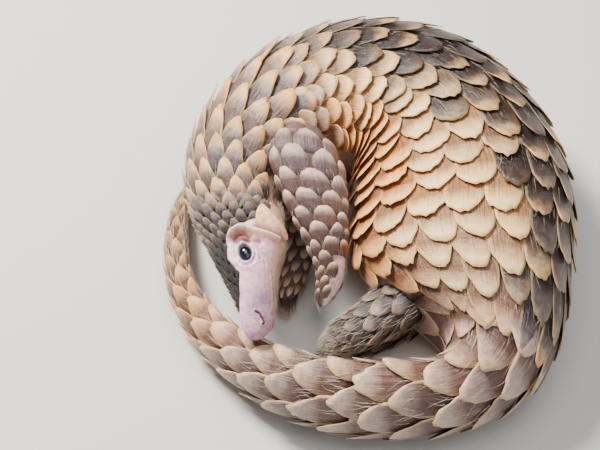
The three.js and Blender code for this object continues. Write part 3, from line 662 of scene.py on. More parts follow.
def scale_bed(name, strip, ribs, rows_from, columns_at, colour_at, material, heading=1, reach=1.9,
              fill=1.08, dome=0.5, point=(1.8, 2.6), cut=(0.30, 0.45), thick=1.3, flare=0.6,
              stand_out=lambda angle: 0.0, taper=0.10, cobble=0.0, along=ALONG, until=99.0):
    """Scales on the ribs' surface. columns_at(row, t) gives the angles and the angle between
    columns. Height over the skin grows evenly from root to tip, where it is one coat, plus a
    dome across that falls off with the square of the distance from the middle. A cobble is a
    pillow instead: it rises from the root, and is rounded off at the sides and the free edge."""
    t_fine, row_fine, _ = rows_from
    row0, angle0, step0 = roots(rows_from, columns_at, until)
    number = len(row0)
    chance = rng.uniform(-1, 1, number)
    row0 = row0 + rng.normal(0, ROW_JITTER, number)
    angle0 = angle0 + rng.normal(0, COLUMN_JITTER, number) * step0
    t0 = np.interp(row0, row_fine, t_fine)
    u = np.linspace(-1, 1, ACROSS)[None, None, :]
    v = (np.linspace(0, 1, along) ** 0.85)[None, :, None]
    power = each(rng.uniform(*point, number))
    drawn = each(rng.uniform(*cut, number))
    skew = each(rng.normal(0, SLANT, number))
    nick = rng.normal(0, NICK, (number, 1, ACROSS))
    nick[:, :, [0, -1]] *= 0.4
    edge = 1 - drawn * np.abs(np.clip(u + skew, -1, 1)) ** power + nick
    length = each(reach * rng.uniform(0.94, 1.06, number))
    row = each(row0) + heading * (length * v * edge - ROOT_BACK)
    waist = 0.82 + 0.18 * np.minimum(v / 0.5, 1) - taper * v ** 3
    angle = each(angle0) + u * waist * each(step0) * 0.5 * fill
    t = np.clip(np.interp(row, row_fine, t_fine), t_fine[0], t_fine[-1])
    coat = np.maximum(between(ribs, t)[..., COAT], LEAST_COAT)
    full = coat / FULL_COAT
    rise = v * edge
    lift = coat * (rise - 1.0) + each(rng.normal(0, TILT, number)) * u * rise
    lift = lift + full * (dome * (1 - u ** 2) * (0.35 + 0.65 * rise) + 0.35 * u)
    lift = lift + full * flare * each(rng.uniform(0, 1, number)) * rise ** 4
    pillow = 1.5 * (1 - (1 - v) ** 2.5) * (1 - 0.75 * v ** 7) * (1 - 0.8 * np.abs(u) ** 2.6)
    lift = lift + cobble * (coat * (pillow - 1) - lift)
    lift = lift + each(rng.uniform(-SINK, SINK, number)) * full
    lift = lift + stand_out(each(angle0)) * rise ** 2
    body = np.minimum(1, 4.0 * np.minimum(1 - v, (1 - np.abs(u)) * 0.8 + 0.05))
    plate = thick * full * (0.42 + 0.58 * np.clip(body, 0, 1))
    sides = [surface(ribs, t, angle, lift), surface(ribs, t, angle, lift - plate)]
    points = np.concatenate([side.reshape(number, -1, 3) for side in sides], 1)
    faces = copies(plate_faces(along, heading), number, 2 * along * ACROSS)

    def both(grid):
        """Values of the top, and the same again for the underside."""
        grid = np.broadcast_to(grid, (number, along, ACROSS)).reshape(number, 1, -1)
        return np.repeat(grid, 2, 1).reshape(number, -1)

    reach_mm = each(between(ribs, t0)[:, SPACING]) * length
    from_side = (1 - np.abs(u)) * 14 * (1 + 2 * (1 - v))
    rim = np.exp(-np.minimum((1 - v) * edge * reach_mm, from_side) / RIM_FADE)
    tone = colour_at(*np.broadcast_arrays(each(t0), each(angle0), each(chance), rise))
    tone = np.repeat(tone.reshape(number, 1, -1, 3), 2, 1)
    uv = np.stack([(both(u) + 1) / 2, both(v * edge)], -1)
    return make_mesh(name, points, faces, material,
                     {"Scale": uv, "OFBake": patch(strip, t0, angle0, uv - 0.5)}, {"tone": tone},
                     {"rim": both(rim), "chance": both(each(chance))})


print("a scale is a grid of", ALONG, "by", ACROSS, "points on each side")

# %% The neck and shoulder, in long arched scales with honey-coloured tips
UPPER_SIDE = math.radians(60)
neck_rows = row_places(BODY, 5.8, 9.2, UPPER_SIDE, 1.12)
neck_scales = scale_bed(
    "neck_scales", "body", BODY, neck_rows, even_columns(15, 0.5, 128, lambda t: 130), neck_colour,
    horn_material, point=(1.8, 2.4), cut=(0.38, 0.50), dome=2.8, flare=1.2, reach=1.8, thick=1.6)


# %% The trunk, with its columns nearly in line as on the flank
def flank_reach(t):
    """How far the scales go round the upper side, in degrees: into the hollow of the curl."""
    return np.interp(t, [8.6, 9.3, 10.3, 14.3, 14.8, 15.3, 15.8],
                     [128, 140, 162, 166, 148, 122, 106])


def inner_flank(angle):
    """Scales at the inner edge of the flank stand out by up to 3 mm more, as the bend of the
    body spreads them like cards."""
    return 3.0 * ramp(np.degrees(angle), 100, 140)


# The rows are laid out past the hip, to keep their spacing, but none is made under the tail's
trunk_rows = row_places(BODY, 8.6, 17.0, UPPER_SIDE)
trunk_scales = scale_bed(
    "trunk_scales", "body", BODY, trunk_rows, even_columns(18, 0.22, 130, flank_reach),
    trunk_colour, horn_material, point=(1.9, 3.0), cut=(0.26, 0.40), dome=0.8,
    stand_out=inner_flank, until=15.1)


# %% The tail, laid like bricks, one column folded over each margin
def tail_margin(angle):
    """Scales round the tail's inner side lie up to 2.5 mm deeper."""
    return -2.5 * ramp(np.degrees(np.abs(angle)), 100, 130)


tail_rows = row_places(BODY, 15.2, 26.8, math.radians(45))
tail_scales = scale_bed(
    "tail_scales", "body", BODY, tail_rows, even_columns(8, 0.5), tail_colour, horn_material,
    point=(1.5, 2.2), cut=(0.36, 0.52), flare=1.0, dome=1.0, stand_out=tail_margin)


# %% The crown and the top of the snout, in many small scales
CROWN_EDGE = np.array([[2.7, 6], [3.2, 33], [3.5, 42], [3.8, 52], [4.1, 47], [4.4, 38], [4.9, 50],
                       [5.1, 60], [5.3, 84], [5.5, 104], [5.8, 124], [6.6, 130]], float)


def crown_reach(t):
    """How far round the head its scales go, in degrees, read from a few places."""
    return np.interp(t, CROWN_EDGE[:, 0], CROWN_EDGE[:, 1], left=-10)


def crown_columns(row, t):
    """Columns about as wide as the photograph's, so that their number changes with the head."""
    rib = between(BODY, t)
    width = np.interp(t, [2.7, 4.0, 5.0, 6.2], [5.5, 6.5, 8.0, 12.5])
    step = width / (0.5 * (rib[TO_BACK] + rib[TO_HIGH]))
    most = math.radians(crown_reach(t))
    count = int(2 * most / step) + 2
    angles = (np.arange(-count, count + 1) + (0.5 if row % 2 else 0.0)) * step
    return angles[np.abs(angles) <= most], step


crown_rows = row_places(BODY, 2.7, 6.25, math.radians(30), 0.92)
crown_scales = scale_bed(
    "crown_scales", "body", BODY, crown_rows, crown_columns, head_colour, horn_material,
    point=(2.2, 3.0), cut=(0.40, 0.50), dome=3.0, fill=1.06, reach=1.5, taper=0.2)

# %% The legs: domed nodules on the raised foreleg, whose tips point to the shoulder
COBBLES = {"heading": -1, "reach": 1.36, "fill": 1.12, "dome": 2.0, "point": (2.2, 3.0),
           "cut": (0.34, 0.46), "taper": 0.16, "cobble": 0.9, "along": 9}
FLAT_SCALES = {"reach": 1.7, "fill": 1.1, "dome": 1.2, "point": (2.0, 2.6),
               "cut": (0.40, 0.52), "taper": 0.12}
raised_columns = even_columns(7, 0.5, high=lambda t: 180 if t < 4.7 else 88)
leg_scales = []
for name, ribs in LIMBS.items():
    raised = name == "foreleg_left"
    rows = row_places(ribs, 0.0, len(ribs) - 1.6, math.radians(45), 1.3 if raised else 1.1)
    leg_scales.append(scale_bed(
        f"{name}_scales", name, ribs, rows, raised_columns if raised else even_columns(8, 0.5),
        leg_colour if "fore" in name else hind_colour, leg_horn_material,
        **(COBBLES if raised else FLAT_SCALES)))

# %% [markdown]
# ## One skin
#
# Under the coat lies one skin, a tube through all the ribs with the limbs joined to it, as
# deep below the outline as the coat is thick. On the face it comes up to the outline and is
# modelled: the brow fold, the pit beside it, the rims of the lids, wrinkles, the curl of the
# nostril and the line of the mouth. Each is a height that depends only on the distance to a
# short path on the head, so the folds follow the paths exactly. Sculpting would be looser.

# %% Folds as heights near a path
BROW = [[4.93, 44], [5.02, 54], [5.14, 66], [5.19, 76], [5.12, 86], [5.02, 96], [4.98, 108],
        [4.95, 122], [4.9, 134]]
PIT = [[4.86, 64], [4.93, 70], [4.92, 78], [4.82, 84]]
LOW_PIT = [[4.80, 88], [4.74, 96], [4.72, 104]]
NOSTRIL = [[2.34, 74], [2.22, 86], [1.95, 96], [1.60, 108], [1.5, 100]]
MOUTH = [[3.6, 134], [2.9, 145], [2.3, 151], [1.7, 160], [1.45, 180]]
WRINKLES = [[[4.34, 90], [4.28, 98], [4.16, 104]], [[4.2, 88], [4.1, 95]],
            [[4.62, 92], [4.55, 102]], [[4.72, 60], [4.6, 56], [4.45, 55]],
            [[4.05, 66], [4.0, 76]]]
EAR_CREASE = [[5.22, 98], [5.10, 112], [5.02, 126], [5.0, 142], [5.02, 156]]


def distance_to(points, path, side):
    """How far each point is from a path of places on the head: the least distance to the
    straight pieces between them."""
    t, angle = np.array(path, float).T
    stops = surface(BODY, t, side * np.radians(angle))
    best = np.full(len(points), 1e9)
    for start, end in zip(stops[:-1], stops[1:]):
        way = end - start
        share = np.clip((points - start) @ way / (way @ way), 0, 1)[:, None]
        best = np.minimum(best, np.linalg.norm(points - start - share * way, axis=1))
    return best


def hill(distance, width):
    """A bell: 1 on the path, falling with the square of the distance over the width."""
    return np.exp(-((distance / width) ** 2))


EYE_AREA, LID_SHAPE, FAR = 20, 1.38, 99.0


def nose_way(side):
    """From the eye's place a little toward the nose, along the skin."""
    angle = side * EYE_ANGLE
    return surface(BODY, EYE_T - 0.2, angle) - surface(BODY, EYE_T, angle)


def eye_distance(points, side):
    """How far points are from the middle of the eye, along the skin: the distance, with its
    share toward the nose over 1.38, as lids are longer than high. Past 20 mm it is just far."""
    centre = surface(BODY, EYE_T, side * EYE_ANGLE)
    up = normals(BODY, EYE_T, side * EYE_ANGLE)
    flat = points - centre
    flat = flat - (flat @ up)[:, None] * up
    toward_nose = nose_way(side) / np.linalg.norm(nose_way(side))
    lengthwise = flat @ toward_nose
    crosswise = np.sqrt(np.maximum(np.sum(flat ** 2, 1) - lengthwise ** 2, 0))
    near = np.linalg.norm(points - centre, axis=1) < EYE_AREA
    return np.where(near, np.hypot(lengthwise / LID_SHAPE, crosswise), FAR)


print("paths on each side of the head:", 5 + len(WRINKLES))

# %% A grid for the skin, finer on the head
HEAD_END = 6.2
HEAD_ROWS, BODY_ROWS, ROUND = 230, 120, 216
skin_t = np.concatenate([np.linspace(0.0, HEAD_END, HEAD_ROWS, endpoint=False),
                         np.linspace(HEAD_END, len(BODY) - 1, BODY_ROWS)])
skin_angle = np.linspace(0, 2 * np.pi, ROUND, endpoint=False)
grid_t, grid_angle = np.meshgrid(skin_t, skin_angle, indexing="ij")
flat_t = grid_t.ravel()
flat_side = np.abs(signed_degrees(grid_angle)).ravel()
bare = 1 - ramp(crown_reach(flat_t) - flat_side, -2, 5)
on_head = flat_t < HEAD_END
skin_lift = -(np.maximum(between(BODY, flat_t)[:, COAT], LEAST_COAT) + 0.5)
skin_lift[on_head] *= 1 - bare[on_head]
head_points = surface(BODY, grid_t, grid_angle).reshape(-1, 3)[on_head]
head_t = flat_t[on_head]
head_side = flat_side[on_head]
print("the skin's grid has", grid_t.size, "points,", on_head.sum(), "of them on the head")

# %% Heights and marks on the face
raise_by = np.zeros(on_head.sum())
marks = {key: np.zeros(on_head.sum()) for key in ("pit", "brow", "lid", "dark", "ear")}
for side in (1, -1):
    brow = hill(distance_to(head_points, BROW, side), 2.5)
    pit = np.maximum(hill(distance_to(head_points, PIT, side), 4.2),
                     0.6 * hill(distance_to(head_points, LOW_PIT, side), 2.0))
    slit = distance_to(head_points, NOSTRIL, side)
    mouth = distance_to(head_points, MOUTH, side)
    ear = distance_to(head_points, EAR_CREASE, side)
    crease = hill(ear, 1.3)
    eye = eye_distance(head_points, side)
    raise_by += 4.2 * brow - 3.8 * pit * (1 - 0.6 * brow)
    raise_by += 1.3 * hill(eye - 5.7, 1.0) - 0.7 * hill(eye - 7.3, 0.7)
    raise_by += 0.7 * hill(eye - 8.8, 1.0) - 4.6 * (1 - ramp(eye, 4.3, 5.3))
    raise_by += 0.7 * hill(slit - 1.5, 0.8) - 1.8 * hill(slit, 0.55)
    raise_by += 0.5 * hill(mouth - 1.3, 0.8) - 1.2 * hill(mouth, 0.6) - 0.9 * crease
    for path in WRINKLES:
        fold = distance_to(head_points, path, side)
        raise_by += 0.5 * hill(fold - 1.1, 0.7) - 0.9 * hill(fold, 0.5)
        # Painted shade in each wrinkle
        marks["dark"] += 0.30 * hill(fold, 0.6)
    marks["pit"] += pit * (1 - 0.3 * brow)
    marks["brow"] += brow
    marks["lid"] += hill(np.maximum(eye - 5.5, 0), 2.6)
    # Painted shade in the nostril, the mouth's line, the lids' opening round the ball and the
    # ear's crease
    marks["dark"] += 0.9 * hill(slit, 0.8) + 0.7 * hill(mouth, 0.7)
    marks["dark"] += (1 - ramp(eye, 4.2, 5.1)) + 0.6 * crease
    marks["ear"] += hill(ear, 7)
skin_lift[on_head] += raise_by * bare[on_head]
print("the face is raised by", raise_by.min().round(2), "to", raise_by.max().round(2), "mm")

# %% Colours of the skin
FACE_PINK = linear(1.0, 0.80, 0.88)
FACE_PALE = linear(1.0, 0.90, 0.96)
PEACH = linear(1.0, 0.82, 0.68)
PIT_RED = linear(0.44, 0.23, 0.19)
CREST = linear(1.0, 0.92, 0.84)
CHEEK = linear(0.79, 0.64, 0.56)
MUZZLE = linear(0.50, 0.41, 0.50)
NOSE = linear(0.82, 0.66, 0.72)
# The skin under the coat, painted dark brown as the shade beneath the plates
SHADED_UNDER_SKIN = linear(0.27, 0.20, 0.18)
BELLY = linear(0.80, 0.66, 0.60)
LID_PALE = linear(0.93, 0.86, 0.92)
# Painted shade for folds, the nostril, the mouth and the lids' opening
FOLD_SHADE = linear(0.13, 0.08, 0.10)
PAW_PALE = linear(0.96, 0.83, 0.83)


def spot(at_t, at_side, long, wide):
    """A soft patch on the face: a bell along the head times a bell round it."""
    return np.exp(-(((head_t - at_t) / long) ** 2) - ((head_side - at_side) / wide) ** 2)


belly_share = ramp(flat_side, 118, 140) * (flat_t > 6) * (flat_t < 15)
# Painted shade under the coat, turning to the belly's own colour low on the side
skin_tone = blend(SHADED_UNDER_SKIN, BELLY, 0.8 * belly_share)
face = FACE_PINK
for colour, share in [
        (FACE_PALE, 0.8 * ramp(head_t, 3.9, 4.4) * (1 - ramp(head_side, 80, 105))),
        (CHEEK, 0.8 * ramp(head_side + 4 * (head_t - 3), 96, 150)),
        (NOSE, 1 - ramp(head_t, 1.9, 2.7)),
        (MUZZLE, 0.95 * spot(2.72, 94, 0.75, 46)),
        (MUZZLE, 0.5 * spot(2.5, 60, 0.3, 22)),
        (PEACH, 0.85 * marks["brow"] + 0.8 * ramp(head_t, 4.75, 5.1) + 0.5 * marks["ear"]),
        (LID_PALE, 0.7 * marks["lid"] * (1 - marks["brow"])),
        (CREST, 0.9 * marks["brow"] ** 2),
        (PIT_RED, 1.25 * marks["pit"]),
        (FOLD_SHADE, 1.15 * marks["dark"])]:
    face = blend(face, colour, np.clip(share, 0, 1))
skin_tone[on_head] = blend(skin_tone[on_head], face, bare[on_head])
print("the face's mean colour", face.mean(0).round(3))


# %% The skin's mesh: the body's tube and the limbs' tubes in one piece
LIMB_ROWS, LIMB_ROUND = 60, 40


def shut(rings, share):
    """Rings with one more at each end, which is the end's own ring drawn to its middle until
    only that share of its size is left."""
    drawn = []
    for end in (rings[:1], rings[-1:]):
        middle = end.mean(1, keepdims=True)
        drawn.append(middle + share * (end - middle))
    return np.concatenate([drawn[0], rings, drawn[1]])


def tube(ribs, t, angle_count, lift_values, strip):
    """Points, faces and OFBake corners of a closed tube: rings on the surface, drawn to a
    point at both ends. Corners past the last column are a full turn on, not back at none."""
    angle = np.linspace(0, 2 * np.pi, angle_count, endpoint=False)
    rings = shut(surface(ribs, t[:, None], angle[None, :], lift_values), 0.01)
    places = np.concatenate([t[:1], t, t[-1:]])
    faces = grid_faces(len(rings), angle_count, wrap=True)
    row, column = np.divmod(faces, angle_count)
    turned = np.where((column == 0) & (column < column[:, :1]), angle_count, column)
    corner_angle = turned * 2 * np.pi / angle_count * (1 - 1e-6)
    return rings.reshape(-1, 3), faces, bake_place(strip, places[row], corner_angle).reshape(-1, 2)


skin_tone = np.concatenate([skin_tone[:ROUND], skin_tone, skin_tone[-ROUND:]])
parts = [(*tube(BODY, skin_t, ROUND, skin_lift.reshape(grid_t.shape), "body"), skin_tone)]
for name, ribs in LIMBS.items():
    t = np.linspace(0, len(ribs) - 1, LIMB_ROWS)
    depth = -np.maximum(between(ribs, t)[:, COAT], LEAST_COAT)[:, None] - 0.3
    points, faces, bake = tube(ribs, t, LIMB_ROUND, depth, name)
    # The limbs' skin is also painted with the shade under the coat
    tone = np.broadcast_to(blend(SHADED_UNDER_SKIN, BELLY, 0.08), points.shape)
    if name == "foreleg_left":
        ring_t = np.concatenate([t[:1], t, t[-1:]])[:, None]
        ring_side = signed_degrees(2 * np.pi * np.arange(LIMB_ROUND) / LIMB_ROUND)
        pale = ramp(ring_t, 4.6, 5.1) * ramp(ring_side, 70, 95)
        tone = blend(tone, PAW_PALE, pale.ravel())
    before = sum(len(part[0]) for part in parts)
    parts.append((points, faces + before, bake, tone))
skin_points, skin_faces, skin_bake, skin_tone = (np.concatenate(part) for part in zip(*parts))


def hide(name):
    """Soft skin: its own colour mottled by noise, fine pores and creases as bump, and a
    little light let in under the surface."""
    s = Shader(name)
    tone = s.attribute("tone")
    mottle = s.noise(s.here(), 260.0, 4.0, 0.6)
    veins = s.noise(s.here(), 90.0, 3.0, 0.5)
    pores = s.noise(s.here(), 1500.0, 2.0, 0.6)
    creases = s.node("ShaderNodeTexVoronoi", "Distance", {"feature": "DISTANCE_TO_EDGE"},
                     Vector=s.here(), Scale=420.0)
    flush = s.tinted(tone, linear(0.86, 0.70, 0.72))
    colour = s.mix(s.rising(mottle, 0.40, 0.72), tone, flush)
    blue = s.tinted(colour, linear(0.80, 0.72, 0.86))
    colour = s.mix(s.product(s.rising(veins, 0.5, 0.7), 0.35), colour, blue)
    return s.look(Base_Color=colour, Roughness=s.math("MULTIPLY_ADD", mottle, 0.25, 0.38),
                  Subsurface_Weight=0.12, Subsurface_Radius=(0.9, 0.4, 0.3),
                  Subsurface_Scale=0.002,
                  Normal=s.relief((creases, 0.25, 0.0004), (pores, 0.3, 0.0002),
                                  (veins, 0.3, 0.0008)))


hide_material = hide("Hide")
skin = make_mesh("skin", skin_points, skin_faces, hide_material,
                 {"OFBake": skin_bake}, {"tone": skin_tone})

# %% [markdown]
# ## Ears
#
# The ear of this animal is a fold of thick peach-coloured skin behind the cheek. It stands on
# a crease and leans back over the neck. A sheet between two paths, one along the crease and
# one along the free edge, bulges outwards by a half wave, and gets a rounded thickness.

# %% Ear flaps
EAR_EDGE = [[5.66, 103], [5.92, 112], [5.62, 126], [5.42, 142], [5.16, 160]]
EAR_T, EAR_ANGLE = 5.3, 2.1
SIDES = {"left": 1, "right": -1}


def ear_flap(name, side):
    """Points = foot + (rim less foot) times b, lifted by a half sine of b, where b runs from
    the crease to the free edge, and the flap thins to its ends."""
    a = np.linspace(0, len(EAR_EDGE) - 1, 40)
    b = np.linspace(0, 1, 14)
    foot = between(np.array(EAR_CREASE, float), a)
    edge = between(np.array(EAR_EDGE, float), a)
    sheet = foot[:, None] + (edge - foot)[:, None] * b[:, None]
    t, angle = sheet[..., 0], np.radians(sheet[..., 1]) * side
    swell = np.sin(np.pi * np.clip((a + 0.5) / 5.0, 0, 1))[:, None]
    height = -1.2 + (4.2 * np.sin(np.pi * 0.75 * b) + 2.4 * b) * (0.45 + 0.55 * swell)
    thick = (2.3 - 1.2 * b) * (0.35 + 0.65 * swell)
    front = surface(BODY, t, angle, height + 0.5 * thick)
    back = surface(BODY, t, angle, height - 0.5 * thick)
    ring = shut(np.concatenate([front, back[:, ::-1]], 1), 0.02)
    faces = grid_faces(*ring.shape[:2], wrap=True)
    if side > 0:
        faces = faces[:, ::-1]
    across = np.concatenate([b, b[::-1]])
    inside = np.stack(np.meshgrid(np.linspace(0, 1, len(ring)), across, indexing="ij"), -1)
    # Painted shade: the flap turns darker and red toward its crease
    lit = np.broadcast_to(0.25 + 0.75 * ramp(across, 0.0, 0.35), ring.shape[:2])
    piece = make_mesh(f"ear_flap_{name}", ring, faces, hide_material,
                      {"OFBake": patch("body", EAR_T, side * EAR_ANGLE, inside.reshape(-1, 2))},
                      {"tone": blend(PIT_RED, PEACH, lit)})
    softened = piece.modifiers.new("Soft", "SUBSURF")
    softened.levels = softened.render_levels = 1
    return piece


ears = {name: ear_flap(name, side) for name, side in SIDES.items()}

# %% [markdown]
# ## Eyes and claws
#
# The eye is a dark, wet ball set in its lids: a black pupil in a dark blue-grey iris under a
# clear coat. A ball of rings is enough, as the lids hide its edge. The claws are long cones
# of horn that curve as they taper, so a ring is carried along a bent path.


# %% Eyes
def globe(name, centre, radius, out, ahead):
    """A ball of rings round the direction it looks in: height r cos a, ring radius r sin a and
    a quarter more toward the nose, with the cornea swelling a little at the front."""
    turn = np.linspace(0, 2 * np.pi, 40, endpoint=False)
    fall = np.linspace(0.02, np.pi - 0.02, 26)
    across = np.cross(out, ahead)
    across /= np.linalg.norm(across)
    other = 1.25 * np.cross(across, out)
    swell = radius * (1 + 0.05 * np.exp(-((fall / 0.6) ** 2)))
    ring = (swell * np.cos(fall))[:, None, None] * out + (swell * np.sin(fall))[:, None, None] * (
        np.cos(turn)[None, :, None] * across + np.sin(turn)[None, :, None] * other)
    faces = grid_faces(len(fall), len(turn), wrap=True)
    pupil = np.broadcast_to(np.exp(-((fall / 0.75) ** 4))[:, None], ring.shape[:2]).ravel()
    return make_mesh(name, centre + ring, faces, eye_material, numbers={"pupil": pupil})


def wet_eye():
    """A black pupil in a dark blue-grey iris, streaked outwards, under a clear coat."""
    s = Shader("Eye")
    streaks = s.noise(s.here(), 1800.0, 3.0, 0.6)
    iris = s.mix(streaks, linear(0.03, 0.04, 0.09), linear(0.16, 0.19, 0.30))
    colour = s.mix(s.attribute("pupil", "Fac"), iris, linear(0.015, 0.016, 0.025))
    return s.look(Base_Color=colour, Roughness=0.08, Coat_Weight=1.0, Coat_Roughness=0.02)


eye_material = wet_eye()
eyes = {}
for name, side in SIDES.items():
    out = normals(BODY, EYE_T, side * EYE_ANGLE)
    eyes[name] = globe(f"eyeball_{name}", eye_centre(side) + 0.8 * out, EYE_RADIUS + 0.6,
                       out, nose_way(side))


# %% Claws
CLAWS, CLAW_RINGS, CLAW_ROUND = 5, 12, 10
FAN = 0.62
CLAW_ROOT = linear(0.34, 0.27, 0.24)
CLAW_TIP = linear(0.72, 0.60, 0.46)


def claws_for(name, length, radius, heading, curl):
    """Claws that fan out of a paw: a path root + length (s less 0.08) ahead + 0.35 length
    s squared along the curl, carrying rings whose size falls as 1 less 0.9 s to the power 1.4."""
    ribs = LIMBS[name]
    rib = between(ribs, len(ribs) - 2.0)
    turn = math.radians(rib[TURN])
    to_back = np.array([math.cos(turn), math.sin(turn), 0.0])
    ahead = np.array(heading, float)
    ahead /= np.linalg.norm(ahead)
    bend = np.array(curl, float)
    bend = bend - (bend @ ahead) * ahead
    across = np.cross(ahead, bend)
    across /= np.linalg.norm(across)
    top = np.cross(across, ahead)
    s = np.linspace(0, 1, CLAW_RINGS)[:, None]
    round_angle = np.linspace(0, 2 * np.pi, CLAW_ROUND, endpoint=False)
    spread = np.linspace(-1, 1, CLAWS)[:, None, None]
    scale = 1 - 0.25 * np.abs(spread)
    root = rib[:3] + to_back * spread * rib[TO_BACK] * FAN
    path = root + length * scale * ((s - 0.08) * ahead + 0.35 * s ** 2 * bend)
    size = radius * scale * (1.02 - 0.92 * s ** 1.4)
    size[:, 0] *= 0.1
    outline = (0.7 * np.cos(round_angle)[:, None] * across + np.sin(round_angle)[:, None] * top)
    points = path[:, :, None] + size[..., None] * outline
    faces = copies(grid_faces(CLAW_RINGS, CLAW_ROUND, wrap=True), CLAWS, CLAW_RINGS * CLAW_ROUND)
    along = np.tile(np.repeat(s.ravel(), CLAW_ROUND), CLAWS)
    bake = patch(name, len(ribs) - 1.5, 0.4, np.stack([along, along], -1))
    uv = np.stack([np.tile(round_angle / 6.3, CLAWS * CLAW_RINGS), along], -1)
    return make_mesh(f"{name}_claws", points, faces, leg_horn_material,
                     {"Scale": uv, "OFBake": bake},
                     {"tone": blend(CLAW_ROOT, CLAW_TIP, along ** 2)},
                     {"rim": along ** 6, "chance": 0 * along})


claws = [
    claws_for("foreleg_left", 22, 3.0, (-0.1, 0.55, -0.85), (0, 0.9, 0.3)),
    claws_for("foreleg_right", 20, 3.0, (-0.3, -0.9, -0.1), (1, 0, 0)),
    claws_for("hindleg_left", 12, 2.2, (-0.85, -0.3, -0.4), (0, 0, -0.5)),
    claws_for("hindleg_right", 12, 2.2, (-0.95, -0.1, -0.2), (0, 0, -0.4)),
]

# %% [markdown]
# ## Hairs
#
# A few stiff whitish hairs grow between the scales, and a soft fuzz on the cheek and throat.
# Particle hair is lost in an export, so each hair is a thin three-sided mesh that tapers and
# bends along the lie of the coat.


# %% Hairs as thin meshes
HAIR_RINGS = 5
HAIR_TONE = (0.85, 0.80, 0.72)


def scattered(places, number):
    """Places as they are given, or drawn evenly between the two ends given."""
    return places if len(places) == number else rng.uniform(*places, number)


def hairs(name, strip, number, t, angle, length, width, root_lift, stand, tone=HAIR_TONE):
    """Hair points = root + length s along the coat + stand length (s less half s squared)
    outwards, bent sideways at random, with a triangle of radius width (1 less s) round them."""
    ribs = LIMBS.get(strip, BODY)
    last = len(ribs) - 1
    t = scattered(t, number)
    angle = scattered(angle, number)
    root = surface(ribs, t, angle, root_lift)
    out = normals(ribs, t, angle)
    ahead, behind = (surface(ribs, np.clip(t + step, 0, last), angle) for step in (0.05, -0.05))
    along = ahead - behind
    along /= np.linalg.norm(along, axis=1, keepdims=True) + 1e-9
    side = np.cross(along, out)
    sway = rng.normal(0, 0.35, (number, 1, 1)) * side[:, None]
    s = np.linspace(0, 1, HAIR_RINGS)[None, :, None]
    size = (length * rng.uniform(0.6, 1.2, number))[:, None, None]
    rise = (stand * rng.uniform(0.5, 1.3, number))[:, None, None]
    bent = s * along[:, None] + rise * (s - 0.5 * s ** 2) * out[:, None] + sway * s ** 2
    path = root[:, None] + size * bent
    corner = np.array([0, 2 * np.pi / 3, 4 * np.pi / 3])[:, None]
    triangle = np.cos(corner) * side[:, None, None] + np.sin(corner) * out[:, None, None]
    ring = path[:, :, None] + (width * (1.0 - 0.85 * s))[..., None] * triangle
    faces = copies(grid_faces(HAIR_RINGS, 3, wrap=True), number, 3 * HAIR_RINGS)
    inside = np.stack([np.repeat(s.ravel(), 3), np.tile([0, 0.5, 1], HAIR_RINGS)], -1)
    shade = rng.uniform(0.75, 1.1, (number, 1, 1)) * linear(*tone)
    colours = np.broadcast_to(shade, (number, 3 * HAIR_RINGS, 3))
    return make_mesh(name, ring, faces, hair_material,
                     {"OFBake": patch(strip, t, angle, inside)}, {"tone": colours})


def hair_shader():
    """Stiff hair: its own colour, browner in places, with a soft sheen."""
    s = Shader("Hair")
    brown = s.product(s.noise(s.here(), 900.0), 0.4)
    colour = s.mix(brown, s.attribute("tone"), linear(0.62, 0.52, 0.42))
    return s.look(Base_Color=colour, Roughness=0.5)


# %% Where the hairs stand
hair_material = hair_shader()
TAIL_HAIRS, THROAT_HAIRS = 900, 4200
one_side = np.clip(rng.normal(0, 0.42, THROAT_HAIRS), -1, 1)
throat = math.pi + 1.25 * one_side * np.sign(rng.uniform(-1, 1, THROAT_HAIRS))
tail_row = rng.integers(0, tail_rows[2], TAIL_HAIRS) + rng.uniform(0.2, 0.8, TAIL_HAIRS)
tail_t = np.interp(tail_row, tail_rows[1], tail_rows[0])
hair_pieces = [
    hairs("tail_hairs", "body", TAIL_HAIRS, tail_t, (-0.3, 2.2), 17.0, 0.17, -2.5, 0.32),
    hairs("flank_hairs", "body", 1100, (6.2, 15.5), (0.2, 2.3), 13.0, 0.14, -3.0, 0.30),
    hairs("throat_fuzz", "body", THROAT_HAIRS, (2.3, 6.4), throat, 5.0, 0.09, -0.2, 0.6,
          (0.80, 0.70, 0.60)),
    hairs("cheek_fuzz", "body", 1500, (3.1, 4.5), (1.3, 2.1), 2.2, 0.06, -0.1, 0.35,
          (0.92, 0.84, 0.80)),
    hairs("belly_hairs", "body", 2600, (6.5, 14.5), (2.2, 4.0), 12.0, 0.13, -4.0, 0.5,
          (0.75, 0.66, 0.58)),
    hairs("hind_hairs", "hindleg_left", 500, (1.2, 5.6), (-3.1, 3.1), 13.0, 0.15, -1.2, 0.30),
    hairs("fore_hairs", "foreleg_left", 500, (2.0, 7.4), (-3.1, 3.1), 8.0, 0.12, -1.2, 0.35),
]

# %% [markdown]
# ## Stand-ins and slots
#
# Each new piece rides on the one body. The skin, the ears and the eyes stand for the solids
# that they dress, which are hidden, and a table groups the pieces by the slot of their finish.

# %% Hang each piece on the body, hide the solids it dresses and group the pieces in slots
flesh = [name for name in nodes if name.split("_")[0] not in ("eye", "ear")]
beds = [neck_scales, trunk_scales, tail_scales, crown_scales]
for piece in [skin, *beds, *leg_scales, *ears.values(), *eyes.values(), *claws, *hair_pieces]:
    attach(piece, "root")
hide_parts(*flesh)
for name in SIDES:
    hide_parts(f"ear_{name}")
    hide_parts(f"eye_{name}")
slots = {"skin": [skin, *ears.values(), *hair_pieces], "eye": list(eyes.values()),
         "scales": beds, "limb_scales": [*leg_scales, *claws]}
for slot, pieces in slots.items():
    print("slot", slot, "has", len(pieces), "pieces")

# %% [markdown]
# ## Floor, light and camera
#
# A plain pale floor and big soft lamps show the relief of the scales without hard shadows.
# The camera looks down steeply from the front, as in the photograph.

